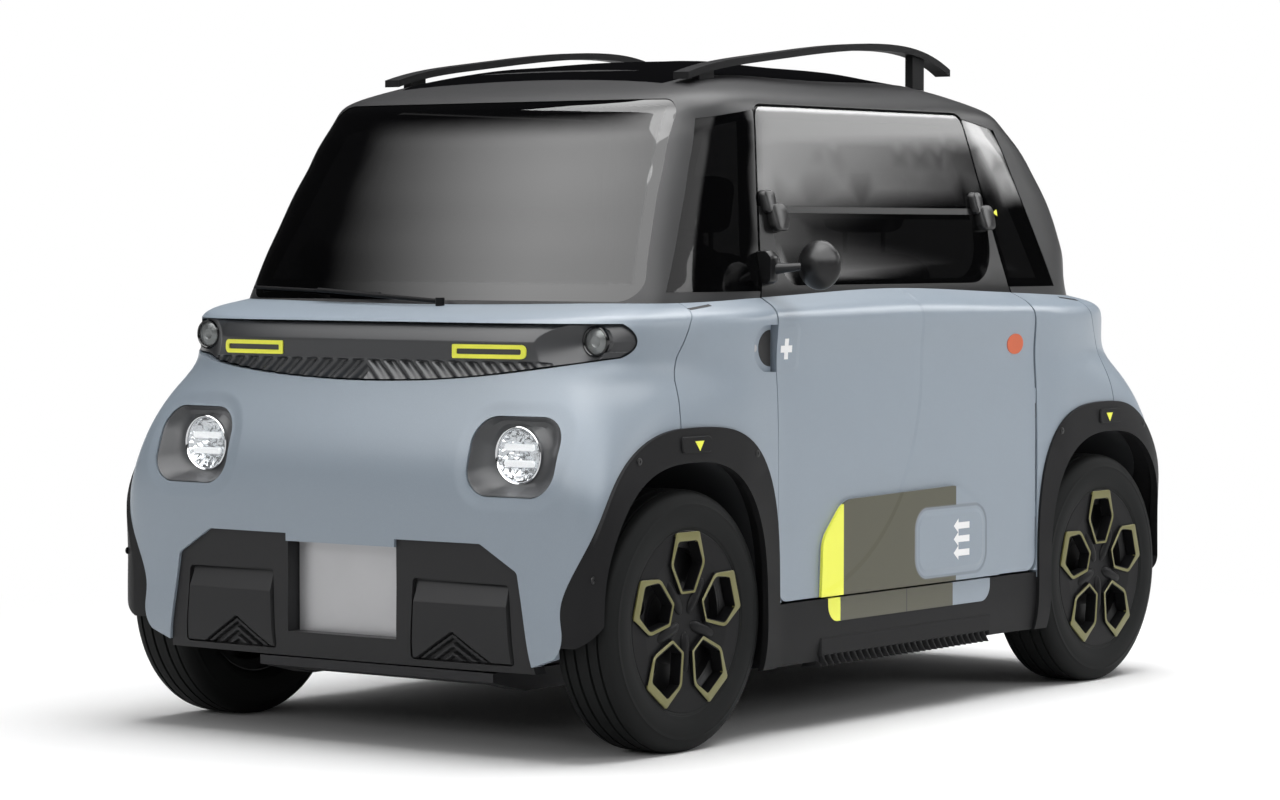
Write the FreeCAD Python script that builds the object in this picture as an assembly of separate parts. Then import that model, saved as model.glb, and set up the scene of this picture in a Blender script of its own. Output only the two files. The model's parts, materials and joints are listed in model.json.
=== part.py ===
import FreeCAD, Part
import math
import os

# A two-seat electric microcar, in millimetres. The origin is on the ground under
# the middle of the car. +Z is up, the front faces -Y and the left side is +X.
# The lower body's front and rear halves are the same parts turned half round,
# and so are the two doors: the left one is hinged at its rear edge and the right
# one at its front edge.

Vector = FreeCAD.Vector
ALONG_X = Vector(1, 0, 0)
ALONG_Y = Vector(0, 1, 0)
ALONG_Z = Vector(0, 0, 1)
CENTRE = Vector(0, 0, 0)
HALF_TURN = 180
QUARTER_TURN = 90

# Driving dimensions of the body
body_half_length = 1205
body_half_width = 688
belt_height = 973
sill_bottom = 150
panel_wall = 22
panel_gap = 3
door_gap = 5.6
seat_gap = 0.3
overrun = 60

# Driving dimensions of the cabin above the belt
cabin_base_height = 900
cabin_half_length = 905
cabin_half_width = 622
roof_height = 1500
cabin_wall = 34
glass_wall = 5
glass_inset = 1.2
glass_gap = 0.4

# Wheels and tyres
wheel_base = 1728
tyre_radius = 278.5
tyre_width = 155
tyre_squash = 2.5
bead_radius = 182
rim_radius = 181.5
rim_width = 118
cover_radius = 195
cover_face_x = 671
wheel_centre_x = 597


# Surfaces of the body: a stack of rings. Each ring is a rounded rectangle in plan,
# worked out as |x / half width| ^ squareness + |y / half length| ^ squareness = 1.

corner_start_share = 0.585
corner_end_share = 0.760
side_steps = 6
corner_steps = 12
front_steps = 6

# height at the ends, height at the sides, half length, half width, squareness
body_ring_shares = [
    (0.144, 0.144, 0.981, 0.977, 14),
    (0.206, 0.206, 0.9975, 0.997, 17),
    (0.308, 0.308, 1.000, 1.000, 20),
    (0.432, 0.432, 1.000, 1.000, 20),
    (0.534, 0.534, 1.000, 1.000, 20),
    (0.617, 0.617, 0.9925, 1.000, 15),
    (0.700, 0.700, 0.971, 0.9985, 11),
    (0.770, 0.770, 0.946, 0.9955, 7.8),
    (0.822, 0.822, 0.932, 0.993, 6.0),
    (0.870, 0.870, 0.9295, 0.9955, 5.6),
    (0.908, 0.908, 0.926, 0.9955, 5.7),
    (0.930, 0.938, 0.9125, 0.988, 6.0),
    (0.942, 0.962, 0.884, 0.966, 6.6),
    (0.952, 0.980, 0.836, 0.932, 7.4),
    (0.962, 0.995, 0.768, 0.896, 8.5),
    (1.028, 1.028, 0.700, 0.800, 9.0),
]
body_crown_share = 0.02
door_hollow = 14
door_hollow_from = 500
door_hollow_to = 690
door_hollow_fade = 830

# height at the ends, height at the sides, front half length, rear half length,
# half width, squareness
cabin_ring_shares = [
    (0.600, 0.600, 1.022, 1.022, 1.000, 10),
    (0.640, 0.640, 1.002, 1.014, 0.993, 10),
    (0.667, 0.667, 0.984, 1.019, 0.980, 10),
    (0.700, 0.700, 0.961, 1.029, 0.963, 10),
    (0.733, 0.733, 0.932, 1.016, 0.947, 10),
    (0.767, 0.767, 0.903, 0.995, 0.931, 10),
    (0.800, 0.800, 0.871, 0.962, 0.915, 10),
    (0.833, 0.833, 0.836, 0.920, 0.899, 10),
    (0.867, 0.867, 0.802, 0.868, 0.883, 10),
    (0.893, 0.893, 0.768, 0.811, 0.870, 10),
    (0.914, 0.914, 0.733, 0.748, 0.855, 11.5),
    (0.934, 0.930, 0.684, 0.668, 0.822, 11),
    (0.951, 0.944, 0.610, 0.588, 0.762, 9),
    (0.968, 0.960, 0.520, 0.500, 0.660, 6.5),
    (0.981, 0.975, 0.415, 0.405, 0.520, 5.4),
    (0.989, 0.986, 0.300, 0.290, 0.370, 4.4),
    (0.9945, 0.9935, 0.190, 0.185, 0.230, 3.4),
    (0.997, 0.997, 0.100, 0.100, 0.120, 2.6),
]
cabin_crown_share = 0.014


def ring_angles(first_quadrant, last_quadrant):
    """Angles round a ring from +X towards -Y, closest together at the corners."""
    corner_from = corner_start_share * QUARTER_TURN
    corner_to = corner_end_share * QUARTER_TURN
    quadrant = [corner_from * i / side_steps for i in range(side_steps)]
    quadrant += [corner_from + (corner_to - corner_from) * i / corner_steps
                 for i in range(corner_steps)]
    quadrant += [corner_to + (QUARTER_TURN - corner_to) * i / front_steps
                 for i in range(front_steps)]
    angles = []
    for number in range(first_quadrant, last_quadrant):
        start = number * QUARTER_TURN
        if number % 2 == 0:
            angles += [start + a for a in quadrant]
        else:
            angles += [start + QUARTER_TURN - a for a in reversed(quadrant[1:] + [QUARTER_TURN])]
    angles.append(last_quadrant * QUARTER_TURN)
    return angles


def ring_point(ring, angle, crown):
    """The point of a ring at an angle from +X towards -Y, in degrees."""
    end_height, side_height, front, rear, half_width, square = ring
    length = front if math.sin(math.radians(angle)) >= 0 else rear
    across = math.cos(math.radians(angle))
    along = math.sin(math.radians(angle))
    reach = (abs(across / half_width) ** square + abs(along / length) ** square) ** (-1 / square)
    x = reach * across
    y = -reach * along * (1 - crown * (x / half_width) ** 2)
    endness = along * along
    return Vector(x, y, side_height + (end_height - side_height) * endness)


def smooth_step(value, low, high):
    """Rises smoothly from 0 to 1 between two values."""
    share = min(max((value - low) / (high - low), 0), 1)
    return share * share * (3 - 2 * share)


def body_place(ring, angle):
    """A point of the lower body, whose doors lie in a shallow hollow."""
    point = ring_point(ring, angle, body_crown_share)
    hollow = door_hollow * (1 - smooth_step(abs(point.y), door_hollow_from, door_hollow_to))
    hollow *= 1 - smooth_step(point.z, door_hollow_fade, belt_height)
    point.x -= math.copysign(hollow, point.x)
    return point


def cabin_place(ring, angle):
    """A point of the cabin above the belt."""
    return ring_point(ring, angle, cabin_crown_share)


def body_rings():
    """The lower body's rings in millimetres, from the sill up to above the belt."""
    return [(end * belt_height, side * belt_height, length * body_half_length,
             length * body_half_length, width * body_half_width, square)
            for end, side, length, width, square in body_ring_shares]


def cabin_rings():
    """The cabin's rings in millimetres, from its base up to near the roof's middle."""
    return [(end * roof_height, side * roof_height, front * cabin_half_length,
             rear * cabin_half_length, width * cabin_half_width, square)
            for end, side, front, rear, width, square in cabin_ring_shares]


def moved_ring(rings, index, depth):
    """The ring at an index, moved inwards by a depth square to the surface."""
    before = rings[max(index - 1, 0)]
    after = rings[min(index + 1, len(rings) - 1)]
    end, side, front, rear, width, square = rings[index]
    if index == 0:
        return (end, side, front - depth, rear - depth, width - depth, square)
    if index == len(rings) - 1:
        return (end - depth, side - depth, front, rear, width, square)
    offsets = []
    for height, reach in ((0, 2), (0, 3), (1, 4)):
        rise = after[height] - before[height]
        run = after[reach] - before[reach]
        size = math.hypot(rise, run)
        offsets.append((-depth * rise / size, depth * run / size))
    return (end + offsets[0][1], side + offsets[2][1], front + offsets[0][0],
            rear + offsets[1][0], width + offsets[2][0], square)


def spacing(points):
    """The distance along a chain of points to each of them, as spline parameters."""
    distances = [0]
    for before, after in zip(points, points[1:]):
        distances.append(distances[-1] + (after - before).Length)
    return distances


def curve(points, parameters=None):
    """A smooth edge through points, at given parameters where edges have to match."""
    spline = Part.BSplineCurve()
    spline.interpolate(Points=points, Parameters=parameters or spacing(points))
    return spline.toShape()


def spline_through(points, parameters):
    """The spline curve through points at given parameters."""
    spline = Part.BSplineCurve()
    spline.interpolate(Points=points, Parameters=parameters)
    return spline


def skin(rings, place, depth, angles):
    """One smooth surface at a depth under the ring surface, through all its rings."""
    moved = [moved_ring(rings, index, depth) for index in range(len(rings))]
    rows = [[place(ring, a) for a in angles] for ring in moved]
    round_steps = spacing([place(rings[len(rings) // 2], a) for a in angles])
    up_steps = spacing([row[0] for row in rows])
    across = [spline_through(row, round_steps) for row in rows]
    columns = [spline_through([c.getPole(i + 1) for c in across], up_steps)
               for i in range(across[0].NbPoles)]
    surface = Part.BSplineSurface()
    surface.buildFromPolesMultsKnots(
        [column.getPoles() for column in columns],
        across[0].getMultiplicities(), columns[0].getMultiplicities(),
        across[0].getKnots(), columns[0].getKnots(), False, False,
        across[0].Degree, columns[0].Degree)
    return surface


def surface_borders(surface):
    """A surface's four border edges, in order round it."""
    low_u, high_u, low_v, high_v = surface.bounds()
    return [surface.uIso(low_u).toShape(), surface.vIso(high_v).toShape(),
            surface.uIso(high_u).toShape(), surface.vIso(low_v).toShape()]


def body_band(outer_depth, inner_depth, angles):
    """A thick open band of the lower body between two depths under its surface."""
    outer = skin(body_rings(), body_place, outer_depth, angles)
    inner = skin(body_rings(), body_place, inner_depth, angles)
    faces = [outer.toShape(), inner.toShape()]
    for a, b in zip(surface_borders(outer), surface_borders(inner)):
        faces += Part.makeLoft([Part.Wire(a), Part.Wire(b)], False, True).Faces
    shell = Part.makeShell(faces)
    shell.sewShape()
    solid = Part.makeSolid(shell)
    if solid.Volume < 0:
        solid.reverse()
    return solid


def greenhouse(depth):
    """The cabin's whole solid, at a depth under its outer surface."""
    rings = cabin_rings()
    angles = ring_angles(0, 4)
    count = len(angles) - 1
    corner = side_steps + corner_steps // 2
    breaks = [corner, count // 2 - corner, count // 2 + corner, count - corner]
    spans = [[angles[(start + i) % count] for i in range((stop - start) % count + 1)]
             for start, stop in zip(breaks, breaks[1:] + breaks[:1])]
    widest = rings[len(rings) // 2]
    parameters = [spacing([cabin_place(widest, a) for a in span]) for span in spans]
    wires = []
    for index in range(len(rings)):
        ring = moved_ring(rings, index, depth)
        wires.append(Part.Wire([curve([cabin_place(ring, a) for a in span], along)
                                for span, along in zip(spans, parameters)]))
    return Part.makeLoft(wires, True, False)


def plate(points, direction, start, stop):
    """A flat outline given in the plane square to a direction, made a prism."""
    corners = [in_plane(direction, start, a, b) for a, b in points]
    face = Part.Face(Part.makePolygon(corners + corners[:1]))
    return face.extrude(direction * (stop - start))


def in_plane(direction, place, a, b):
    """A point at a place along a direction, from its two other coordinates."""
    if direction is ALONG_X:
        return Vector(place, a, b)
    if direction is ALONG_Y:
        return Vector(a, place, b)
    return Vector(a, b, place)


def rounded_wire(points, radii, direction, place):
    """A closed outline whose corners are rounded by arcs of the given radii."""
    corners = [in_plane(direction, place, a, b) for a, b in points]
    ends = []
    for index, corner in enumerate(corners):
        back = corners[index - 1] - corner
        onward = corners[(index + 1) % len(corners)] - corner
        back.normalize()
        onward.normalize()
        half = back.getAngle(onward) / 2
        reach = radii[index] / math.tan(half)
        middle = back + onward
        middle.normalize()
        centre = corner + middle * (radii[index] / math.sin(half))
        ends.append((corner + back * reach, centre - middle * radii[index], corner + onward * reach))
    edges = []
    for index, (start, top, stop) in enumerate(ends):
        if radii[index] > 0:
            edges.append(Part.Arc(start, top, stop).toShape())
        following = ends[(index + 1) % len(ends)][0]
        if (following - stop).Length > seat_gap:
            edges.append(Part.makeLine(stop, following))
    return Part.Wire(edges)


def rounded_plate(points, radii, direction, start, stop):
    """A prism like plate(), with its corners rounded by the given radii."""
    face = Part.Face(rounded_wire(points, radii, direction, start))
    return face.extrude(direction * (stop - start))


def box(low, high):
    """A box between two corners."""
    return Part.makeBox(high[0] - low[0], high[1] - low[1], high[2] - low[2], Vector(*low))


def rod(start, stop, radius):
    """A round rod between two points."""
    line = Vector(*stop) - Vector(*start)
    return Part.makeCylinder(radius, line.Length, Vector(*start), line)


def tube(start, stop, outer, inner):
    """A round tube between two points."""
    return rod(start, stop, outer).cut(rod(start, stop, inner))


def turned(shape, degrees=HALF_TURN):
    """The shape turned about the vertical axis through the origin."""
    copy = shape.copy()
    copy.rotate(CENTRE, ALONG_Z, degrees)
    return copy


def mirrored(shape):
    """The shape mirrored from the left side to the right."""
    return shape.mirror(CENTRE, ALONG_X)


def both_sides(shape):
    """The shape and its mirror image on the other side."""
    return [shape, mirrored(shape)]


def join(shapes):
    """Several touching solids joined into one."""
    whole = shapes[0].fuse(shapes[1:])
    return whole.removeSplitter()


def save(name, shapes):
    """Writes one sub-part's solids to its own file."""
    solids = []
    for shape in shapes if isinstance(shapes, list) else [shapes]:
        solids += shape.Solids
    whole = solids[0] if len(solids) == 1 else Part.makeCompound(solids)
    bad = [s for s in solids if not s.isValid() or s.Volume <= 0]
    print(name, len(solids), "solids", round(sum(s.Volume for s in solids) / 1e6, 3), "litres",
          "INVALID" if bad else "")
    whole.exportStep("parts/" + name + ".step")


# Wheel arches: half an upright rounded oval about each axle

axle_y = wheel_base / 2
axle_z = tyre_radius - tyre_squash
arch_centre_y = 868
arch_outer_rear = 324
arch_steps = 14
arch_side_x = 560

# half length in front, half length behind, rise, squareness in front and behind
arch_inner = (284, 273, 336, 2.6, 2.6)
arch_outer = (318, arch_outer_rear, 409, 2.5, 3.2)
arch_liner = (291, 299, 344, 2.6, 2.6)
liner_wall = 4
liner_inner_x = 369
liner_bottom = 236
shaft_hole_radius = 36


def arch_prism(arch, inset, bottom, start, stop):
    """The space inside an arch outline, as a prism across the car.

    The outline is in the side view of the front wheel. From its legs at the bottom it
    follows a rounded oval, with its own half length towards the front and the rear.
    """
    front, rear, rise, front_square, rear_square = arch
    points = [(-arch_centre_y + rear - inset, bottom)]
    for i in range(arch_steps + 1):
        angle = math.pi * i / arch_steps
        c, s = math.cos(angle), math.sin(angle)
        square = rear_square if c > 0 else front_square
        reach = (abs(c) ** square + abs(s) ** square) ** (-1 / square)
        half = (rear if c > 0 else front) - inset
        points.append((-arch_centre_y + half * reach * c, axle_z + (rise - inset) * reach * s))
    points.append((-arch_centre_y - front + inset, bottom))
    corners = [Vector(start, y, z) for y, z in points]
    edges = [Part.makeLine(corners[0], corners[1]), curve(corners[1:-1]),
             Part.makeLine(corners[-2], corners[-1]), Part.makeLine(corners[-1], corners[0])]
    return Part.Face(Part.Wire(edges)).extrude(ALONG_X * (stop - start))


# Doors

door_half_length = 538
door_bottom = 293
door_corner_radius = 34
door_top_height = 1372
door_top_half_length = 424
door_belt_half_length = 512
door_skin = 24
door_depth = 60
door_step = 7
pocket_rise = 9


def door_outline(inset):
    """The door's outline in the side view, pulled in by an inset."""
    waist = cabin_base_height
    return [(-door_half_length + inset, door_bottom + inset),
            (door_half_length - inset, door_bottom + inset),
            (door_half_length - inset, waist),
            (door_belt_half_length - inset, belt_height),
            (door_top_half_length - inset, door_top_height - inset),
            (-door_top_half_length + inset, door_top_height - inset),
            (-door_belt_half_length + inset, belt_height),
            (-door_half_length + inset, waist)]


def door_prism(inset, start, stop):
    """The door's outline as a prism, with rounded corners."""
    outline = door_outline(inset)
    bend = 120
    radii = [door_corner_radius, door_corner_radius, bend, bend / 2,
             door_corner_radius, door_corner_radius, bend / 2, bend]
    return rounded_plate(outline, radii, ALONG_X, start, stop)




# The lower body's panels

front_angles = ring_angles(0, 2)
left_front_angles = front_angles[4:side_steps + corner_steps + 4]
front_panel_angles = front_angles[4:-4]
door_angles = [-a for a in reversed(front_angles[1:side_steps + 1])] + front_angles[:side_steps + 1]

seam_points = [(-765, 1000), (-789, 954), (-804, 937), (-834, 903), (-855, 860), (-872, 833),
               (-889, 784), (-901, 720), (-908, 640), (-912, 560)]
far_height = 1700
far_x = 900
far_y = 1400

band_top = 903
band_end_x = 612
band_end_height = 866
band_bottom_end = 831
band_bottom_between = 789
band_bottom_middle = 776
band_corner_x = 592
band_depth = 28
band_recess = 2

headlamp_x = 438
headlamp_z = 630
headlamp_radius = 62
pod_left = 335
pod_right = 558
pod_bottom = 545
pod_top = 712
pod_corner = 58
pod_depth = 60
pod_recess = 3
bowl_depth = 28
bowl_flare = 19
headlamp_face_y = -1142

round_lamp_x = 545
round_lamp_y = -1019
round_lamp_z = 866
round_lamp_radius = 32

insert_top = 447
insert_top_x = 378
insert_shoulder_x = 472
insert_shoulder = 391
insert_bottom_x = 509
insert_bottom = 181
insert_corner = 14
insert_depth = 40
insert_recess = 7
tongue_bottom = 430
field_outer = (446, 363)
field_inner = (196, 368)
field_outer_foot = 460
field_inner_foot = 188
field_bottom = 195
field_corner = 10
field_depth = 18

notch_half_width = 152
notch_floor_y = -1158
notch_block_half_width = 200
notch_block_depth = 66
plate_width = 298
plate_height = 192
plate_bottom = 235
plate_thickness = 4
plate_face_y = notch_floor_y - plate_thickness - seat_gap

end_bottom = 197
end_bottom_half_width = 509
corner_bottom = 232
corner_bottom_half_width = 606

cup_front = -630
cup_rear = -459
cup_bottom = 793
cup_top = 895
cup_corner = 50
cup_floor_x = 659

sill_top = door_bottom - door_gap
sill_end_y = arch_centre_y - arch_outer_rear
sill_depth = 46
sill_insert_half_length = 340
sill_insert_bottom = 235
sill_insert_corner = 38

trim_stand = 6
trim_lip = 8
trim_depth = 40
trim_foot = [(-1100, 0), (-1100, 360), (-1150, 290), (-1192, corner_bottom)]


def seam_prism(gap):
    """The region behind the seam between the front panel and the fenders."""
    points = [(y + gap, z) for y, z in seam_points]
    points = [(points[0][0], far_height)] + points + [(points[-1][0], 0), (0, 0), (0, far_height)]
    return plate(points, ALONG_X, -far_x, far_x)


def band_prism(gap):
    """The light bar's opening, as a prism from the front to inside the body."""
    top = band_top - gap
    end = band_end_x - gap
    rise = gap
    start = -far_y
    top_left = Vector(-band_corner_x, start, top)
    top_right = Vector(band_corner_x, start, top)
    bottom_right = Vector(band_corner_x, start, band_bottom_end + rise)
    bottom_left = Vector(-band_corner_x, start, band_bottom_end + rise)
    bottom = [bottom_right, Vector(band_corner_x / 2, start, band_bottom_between + rise),
              Vector(0, start, band_bottom_middle + rise),
              Vector(-band_corner_x / 2, start, band_bottom_between + rise), bottom_left]
    edges = [Part.makeLine(top_left, top_right),
             Part.Arc(top_right, Vector(end, start, band_end_height), bottom_right).toShape(),
             curve(bottom),
             Part.Arc(bottom_left, Vector(-end, start, band_end_height), top_left).toShape()]
    return Part.Face(Part.Wire(edges)).extrude(ALONG_Y * (far_y - door_half_length))


def pod_prism(gap):
    """The headlamp pod's rounded square, on the left side of the front."""
    low_x, high_x = pod_left + gap, pod_right - gap
    low_z, high_z = pod_bottom + gap, pod_top - gap
    outline = [(low_x, low_z), (high_x, low_z), (high_x, high_z), (low_x, high_z)]
    return rounded_plate(outline, [pod_corner - gap] * 4, ALONG_Y, -far_y, -door_half_length)


def insert_prism(gap):
    """The lower insert's opening, open at the bottom and notched at the top."""
    slope = (insert_bottom_x - insert_shoulder_x) / (insert_shoulder - insert_bottom)
    low = sill_bottom - overrun
    low_x = insert_bottom_x + slope * (insert_bottom - low) - gap
    top, shoulder = insert_top - gap, insert_shoulder - gap / 2
    tongue, tongue_x = tongue_bottom - gap, notch_half_width + gap
    half = [(low_x, low), (insert_shoulder_x - gap, shoulder), (insert_top_x - gap / 2, top),
            (tongue_x, top), (tongue_x, tongue)]
    radii = [0, insert_corner, insert_corner, 0, 0]
    outline = half + [(-x, z) for x, z in reversed(half)]
    return rounded_plate(outline, radii + radii[::-1], ALONG_Y, -far_y, -door_half_length)


def field_prism():
    """The sunk field in the left half of the lower insert."""
    outline = [(field_inner_foot, field_bottom), (field_outer_foot, field_bottom),
               field_outer, field_inner]
    return rounded_plate(outline, [field_corner] * 4, ALONG_Y, -far_y, -door_half_length)


def bottom_prism():
    """All that lies below the front panel's lower edge, which rises at its corners."""
    half = [(far_x, 0), (far_x, corner_bottom), (corner_bottom_half_width, corner_bottom),
            (end_bottom_half_width, end_bottom)]
    outline = half + [(-x, z) for x, z in reversed(half)]
    return plate(outline, ALONG_Y, -far_y, -door_half_length)


def cup_prism(side):
    """The handle's cup, which the door's edge divides, in the side of the body."""
    outline = [(cup_front, cup_bottom), (cup_rear, cup_bottom), (cup_rear, cup_top),
               (cup_front, cup_top)]
    cup = rounded_plate(outline, [cup_corner] * 4, ALONG_X, cup_floor_x, far_x)
    return cup if side > 0 else turned(cup)


def make_body(cabin_cutter):
    """The front panel, the fenders and all that fills the front panel's openings."""
    arches = both_sides(arch_prism(arch_outer, 0, 0, arch_side_x, far_x))
    sill_room = box((-far_x, -sill_end_y, 0), (far_x, sill_end_y, sill_top + door_gap))
    door_cutter = [door_prism(-door_gap, start, start + far_x) for start in (0, -far_x)]
    blank = body_band(0, panel_wall, front_panel_angles)
    blank = blank.cut([cabin_cutter, bottom_prism(), sill_room, cup_prism(1)]
                      + arches + door_cutter)

    front = blank.cut([seam_prism(-panel_gap / 2), band_prism(0), insert_prism(0),
                       pod_prism(0), mirrored(pod_prism(0))])
    fender_side = blank.common(seam_prism(panel_gap / 2))
    save("front_panel", front)
    save("rear_panel", turned(front).cut(cabin_cutter))
    save("fenders", [fender_side, turned(fender_side).cut(cabin_cutter)])

    bar = body_band(band_recess, band_depth, front_panel_angles).common(band_prism(seat_gap))
    lamp_line = (round_lamp_x, round_lamp_y, round_lamp_z)
    lamp_hole = rod((lamp_line[0], lamp_line[1] - overrun, lamp_line[2]),
                    (lamp_line[0], lamp_line[1] + 2 * overrun, lamp_line[2]), round_lamp_radius)
    bar = bar.cut([lamp_hole, mirrored(lamp_hole)])
    save("light_bars", [bar, turned(bar)])

    pod = body_band(pod_recess, pod_depth, front_panel_angles).common(pod_prism(seat_gap))
    bowl_front = headlamp_face_y - bowl_depth
    bowl = Part.makeCone(headlamp_radius + bowl_flare, headlamp_radius, bowl_depth,
                         Vector(headlamp_x, bowl_front, headlamp_z), ALONG_Y)
    bowl_mouth = rod((headlamp_x, bowl_front - overrun, headlamp_z),
                     (headlamp_x, bowl_front, headlamp_z), headlamp_radius + bowl_flare)
    lamp_room = rod((headlamp_x, headlamp_face_y, headlamp_z),
                    (headlamp_x, headlamp_face_y + 2 * pod_depth, headlamp_z), headlamp_radius)
    pod = pod.cut([bowl, bowl_mouth, lamp_room])
    pods = both_sides(pod)
    save("lamp_pods", pods + [turned(p) for p in pods])

    lens = rod((headlamp_x, headlamp_face_y, headlamp_z),
               (headlamp_x, headlamp_face_y + pod_depth / 2, headlamp_z),
               headlamp_radius - seat_gap)
    small = rod((round_lamp_x, round_lamp_y, round_lamp_z),
                (round_lamp_x, round_lamp_y + band_depth, round_lamp_z),
                round_lamp_radius - seat_gap)
    lenses = both_sides(lens) + both_sides(small)
    save("front_lamps", lenses)
    save("rear_lamps", [turned(one) for one in lenses])

    insert = body_band(insert_recess, insert_depth, front_panel_angles)
    block = body_band(insert_depth, notch_block_depth, front_panel_angles)
    block = block.common(box((-notch_block_half_width, -far_y, insert_bottom),
                             (notch_block_half_width, -door_half_length, insert_top)))
    below = box((-far_x, -far_y, 0), (far_x, 0, insert_bottom))
    notch = box((-notch_half_width, -far_y, plate_bottom - seat_gap),
                (notch_half_width, notch_floor_y, insert_top))
    field = field_prism().cut(body_band(field_depth, notch_block_depth, front_panel_angles))
    insert = join([insert, block]).common(insert_prism(seat_gap))
    insert = insert.cut([below, notch] + both_sides(field))
    save("bumper_inserts", [insert, turned(insert)])

    number_plate = box((-plate_width / 2, plate_face_y, plate_bottom),
                       (plate_width / 2, plate_face_y + plate_thickness,
                        plate_bottom + plate_height))
    save("number_plates", [number_plate, turned(number_plate)])


def make_trims():
    """The arch trims, which stand proud of the fenders, and the liners inside them."""
    outer = arch_prism(arch_outer, seat_gap, sill_bottom, arch_side_x, far_x)
    opening = arch_prism(arch_inner, 0, 0, 0, far_x)
    room = arch_prism(arch_liner, 0, 0, 0, far_x)
    foot = plate(trim_foot + [(-far_y, corner_bottom), (-far_y, 0)], ALONG_X, arch_side_x, far_x)
    lip = body_band(-trim_stand, trim_lip, left_front_angles).common(outer).cut([opening, foot])
    wall = body_band(trim_lip, trim_depth, left_front_angles).common(outer).cut([room, foot])
    trim = join([lip, wall])
    trims = both_sides(trim)
    save("arch_trims", trims + [turned(t) for t in trims])

    outside = arch_prism(arch_liner, -liner_wall, liner_bottom, liner_inner_x, body_half_width)
    inside = arch_prism(arch_liner, 0, liner_bottom - overrun, liner_inner_x + liner_wall,
                        body_half_width + overrun)
    shaft_hole = rod((liner_inner_x - overrun, -axle_y, axle_z),
                     (liner_inner_x + overrun, -axle_y, axle_z), shaft_hole_radius)
    edge = body_band(-overrun, trim_depth + seat_gap, left_front_angles)
    liner = outside.cut([inside, shaft_hole, edge])
    liner = sorted(liner.Solids, key=lambda s: s.Volume)[-1]
    liners = both_sides(liner)
    save("wheel_liners", liners + [turned(one) for one in liners])


def sill_insert_prism(gap):
    """The insert's outline in the side view, rounded below and open at the top."""
    half, low = sill_insert_half_length + gap, sill_insert_bottom - gap
    outline = [(-half, low), (half, low), (half, far_height), (-half, far_height)]
    corner = sill_insert_corner + gap
    return rounded_plate(outline, [corner, corner, 0, 0], ALONG_X, 0, far_x)


def make_sills():
    """The sills under the doors, with the coloured inserts in their top edges."""
    band = body_band(0, sill_depth, door_angles)
    length = box((0, -sill_end_y + seat_gap, sill_bottom), (far_x, sill_end_y - seat_gap, sill_top))
    sill = band.common(length)
    insert = sill.common(sill_insert_prism(0))
    sill = sill.cut(sill_insert_prism(seat_gap))
    save("sills", [sill, turned(sill)])
    save("sill_inserts", [insert, turned(insert)])


# The cabin above the belt

windscreen_bottom = 946
windscreen_bottom_x = 557
windscreen_top = 1384
windscreen_top_x = 478
screen_corner = 45
quarter_front_bottom = -822
quarter_front_top = -624
quarter_rear_bottom = 738
quarter_rear_top = 570
quarter_bottom = 966
quarter_near_top = 1364
quarter_far_top = 1340
pane_overlap = 20
roof_glass_half_width = 400
roof_glass_front = -440
roof_glass_rear = 420
roof_glass_corner = 70
window_rail_low = 1137
window_rail_high = 1151
upper_opening_inset = 26
rail_overlap = 6
lower_pane_bottom = 977
lower_pane_front_bottom = -418
lower_pane_front_top = -440
lower_pane_rear_bottom = 456
lower_pane_rear_top = 466
lower_front_radius = 55
lower_rear_radius = 105
lower_pane_overlap = 12
pane_corner = 12
pane_bed = glass_inset + glass_wall + glass_gap


def screen_prism(gap, sign):
    """The windscreen's outline seen from the front, or the rear window's from behind."""
    outline = [(-windscreen_bottom_x + gap, windscreen_bottom + gap),
               (windscreen_bottom_x - gap, windscreen_bottom + gap),
               (windscreen_top_x - gap, windscreen_top - gap),
               (-windscreen_top_x + gap, windscreen_top - gap)]
    start, stop = (-far_y, -door_top_half_length) if sign < 0 else (door_top_half_length, far_y)
    return rounded_plate(outline, [screen_corner] * 4, ALONG_Y, start, stop)


def door_edge(height):
    """How far the door's sloping upper edge lies from the middle at a height."""
    slope = (door_belt_half_length - door_top_half_length) / (door_top_height - belt_height)
    return door_belt_half_length - slope * (height - belt_height)


def quarter_prism(inset, front):
    """A quarter window's outline up to the door's gap, as a prism to the left."""
    near_bottom = door_edge(quarter_bottom) + door_gap + inset
    near_top = door_edge(quarter_near_top) + door_gap + inset
    low, near_high, far_high = (quarter_bottom + inset, quarter_near_top - inset,
                                quarter_far_top - inset)
    if front:
        outline = [(quarter_front_bottom + inset, low), (-near_bottom, low),
                   (-near_top, near_high), (quarter_front_top + inset, far_high)]
    else:
        outline = [(near_bottom, low), (quarter_rear_bottom - inset, low),
                   (quarter_rear_top - inset, far_high), (near_top, near_high)]
    return plate(outline, ALONG_X, 0, far_x)


def roof_prism(gap):
    """The roof glass's rounded square, from above."""
    half = roof_glass_half_width - gap
    outline = [(-half, roof_glass_front + gap), (half, roof_glass_front + gap),
               (half, roof_glass_rear - gap), (-half, roof_glass_rear - gap)]
    return rounded_plate(outline, [roof_glass_corner] * 4, ALONG_Z, belt_height, far_height)


def upper_pane_prism(inset, rail_inset):
    """The door's upper pane, which covers its frame from the rail out to its edge."""
    above = box((0, -far_y, window_rail_high + rail_inset), (far_x, far_y, far_height))
    return door_prism(inset, 0, far_x).common(above)


def lower_pane_prism(inset):
    """The door's lower pane, inside the door's frame and with a large rear corner."""
    low, high = lower_pane_bottom + inset, window_rail_low - inset
    outline = [(lower_pane_front_bottom + inset, low), (lower_pane_rear_bottom - inset, low),
               (lower_pane_rear_top - inset, high), (lower_pane_front_top + inset, high)]
    radii = [lower_front_radius, lower_rear_radius, pane_corner, pane_corner]
    return rounded_plate(outline, radii, ALONG_X, 0, far_x)


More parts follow.
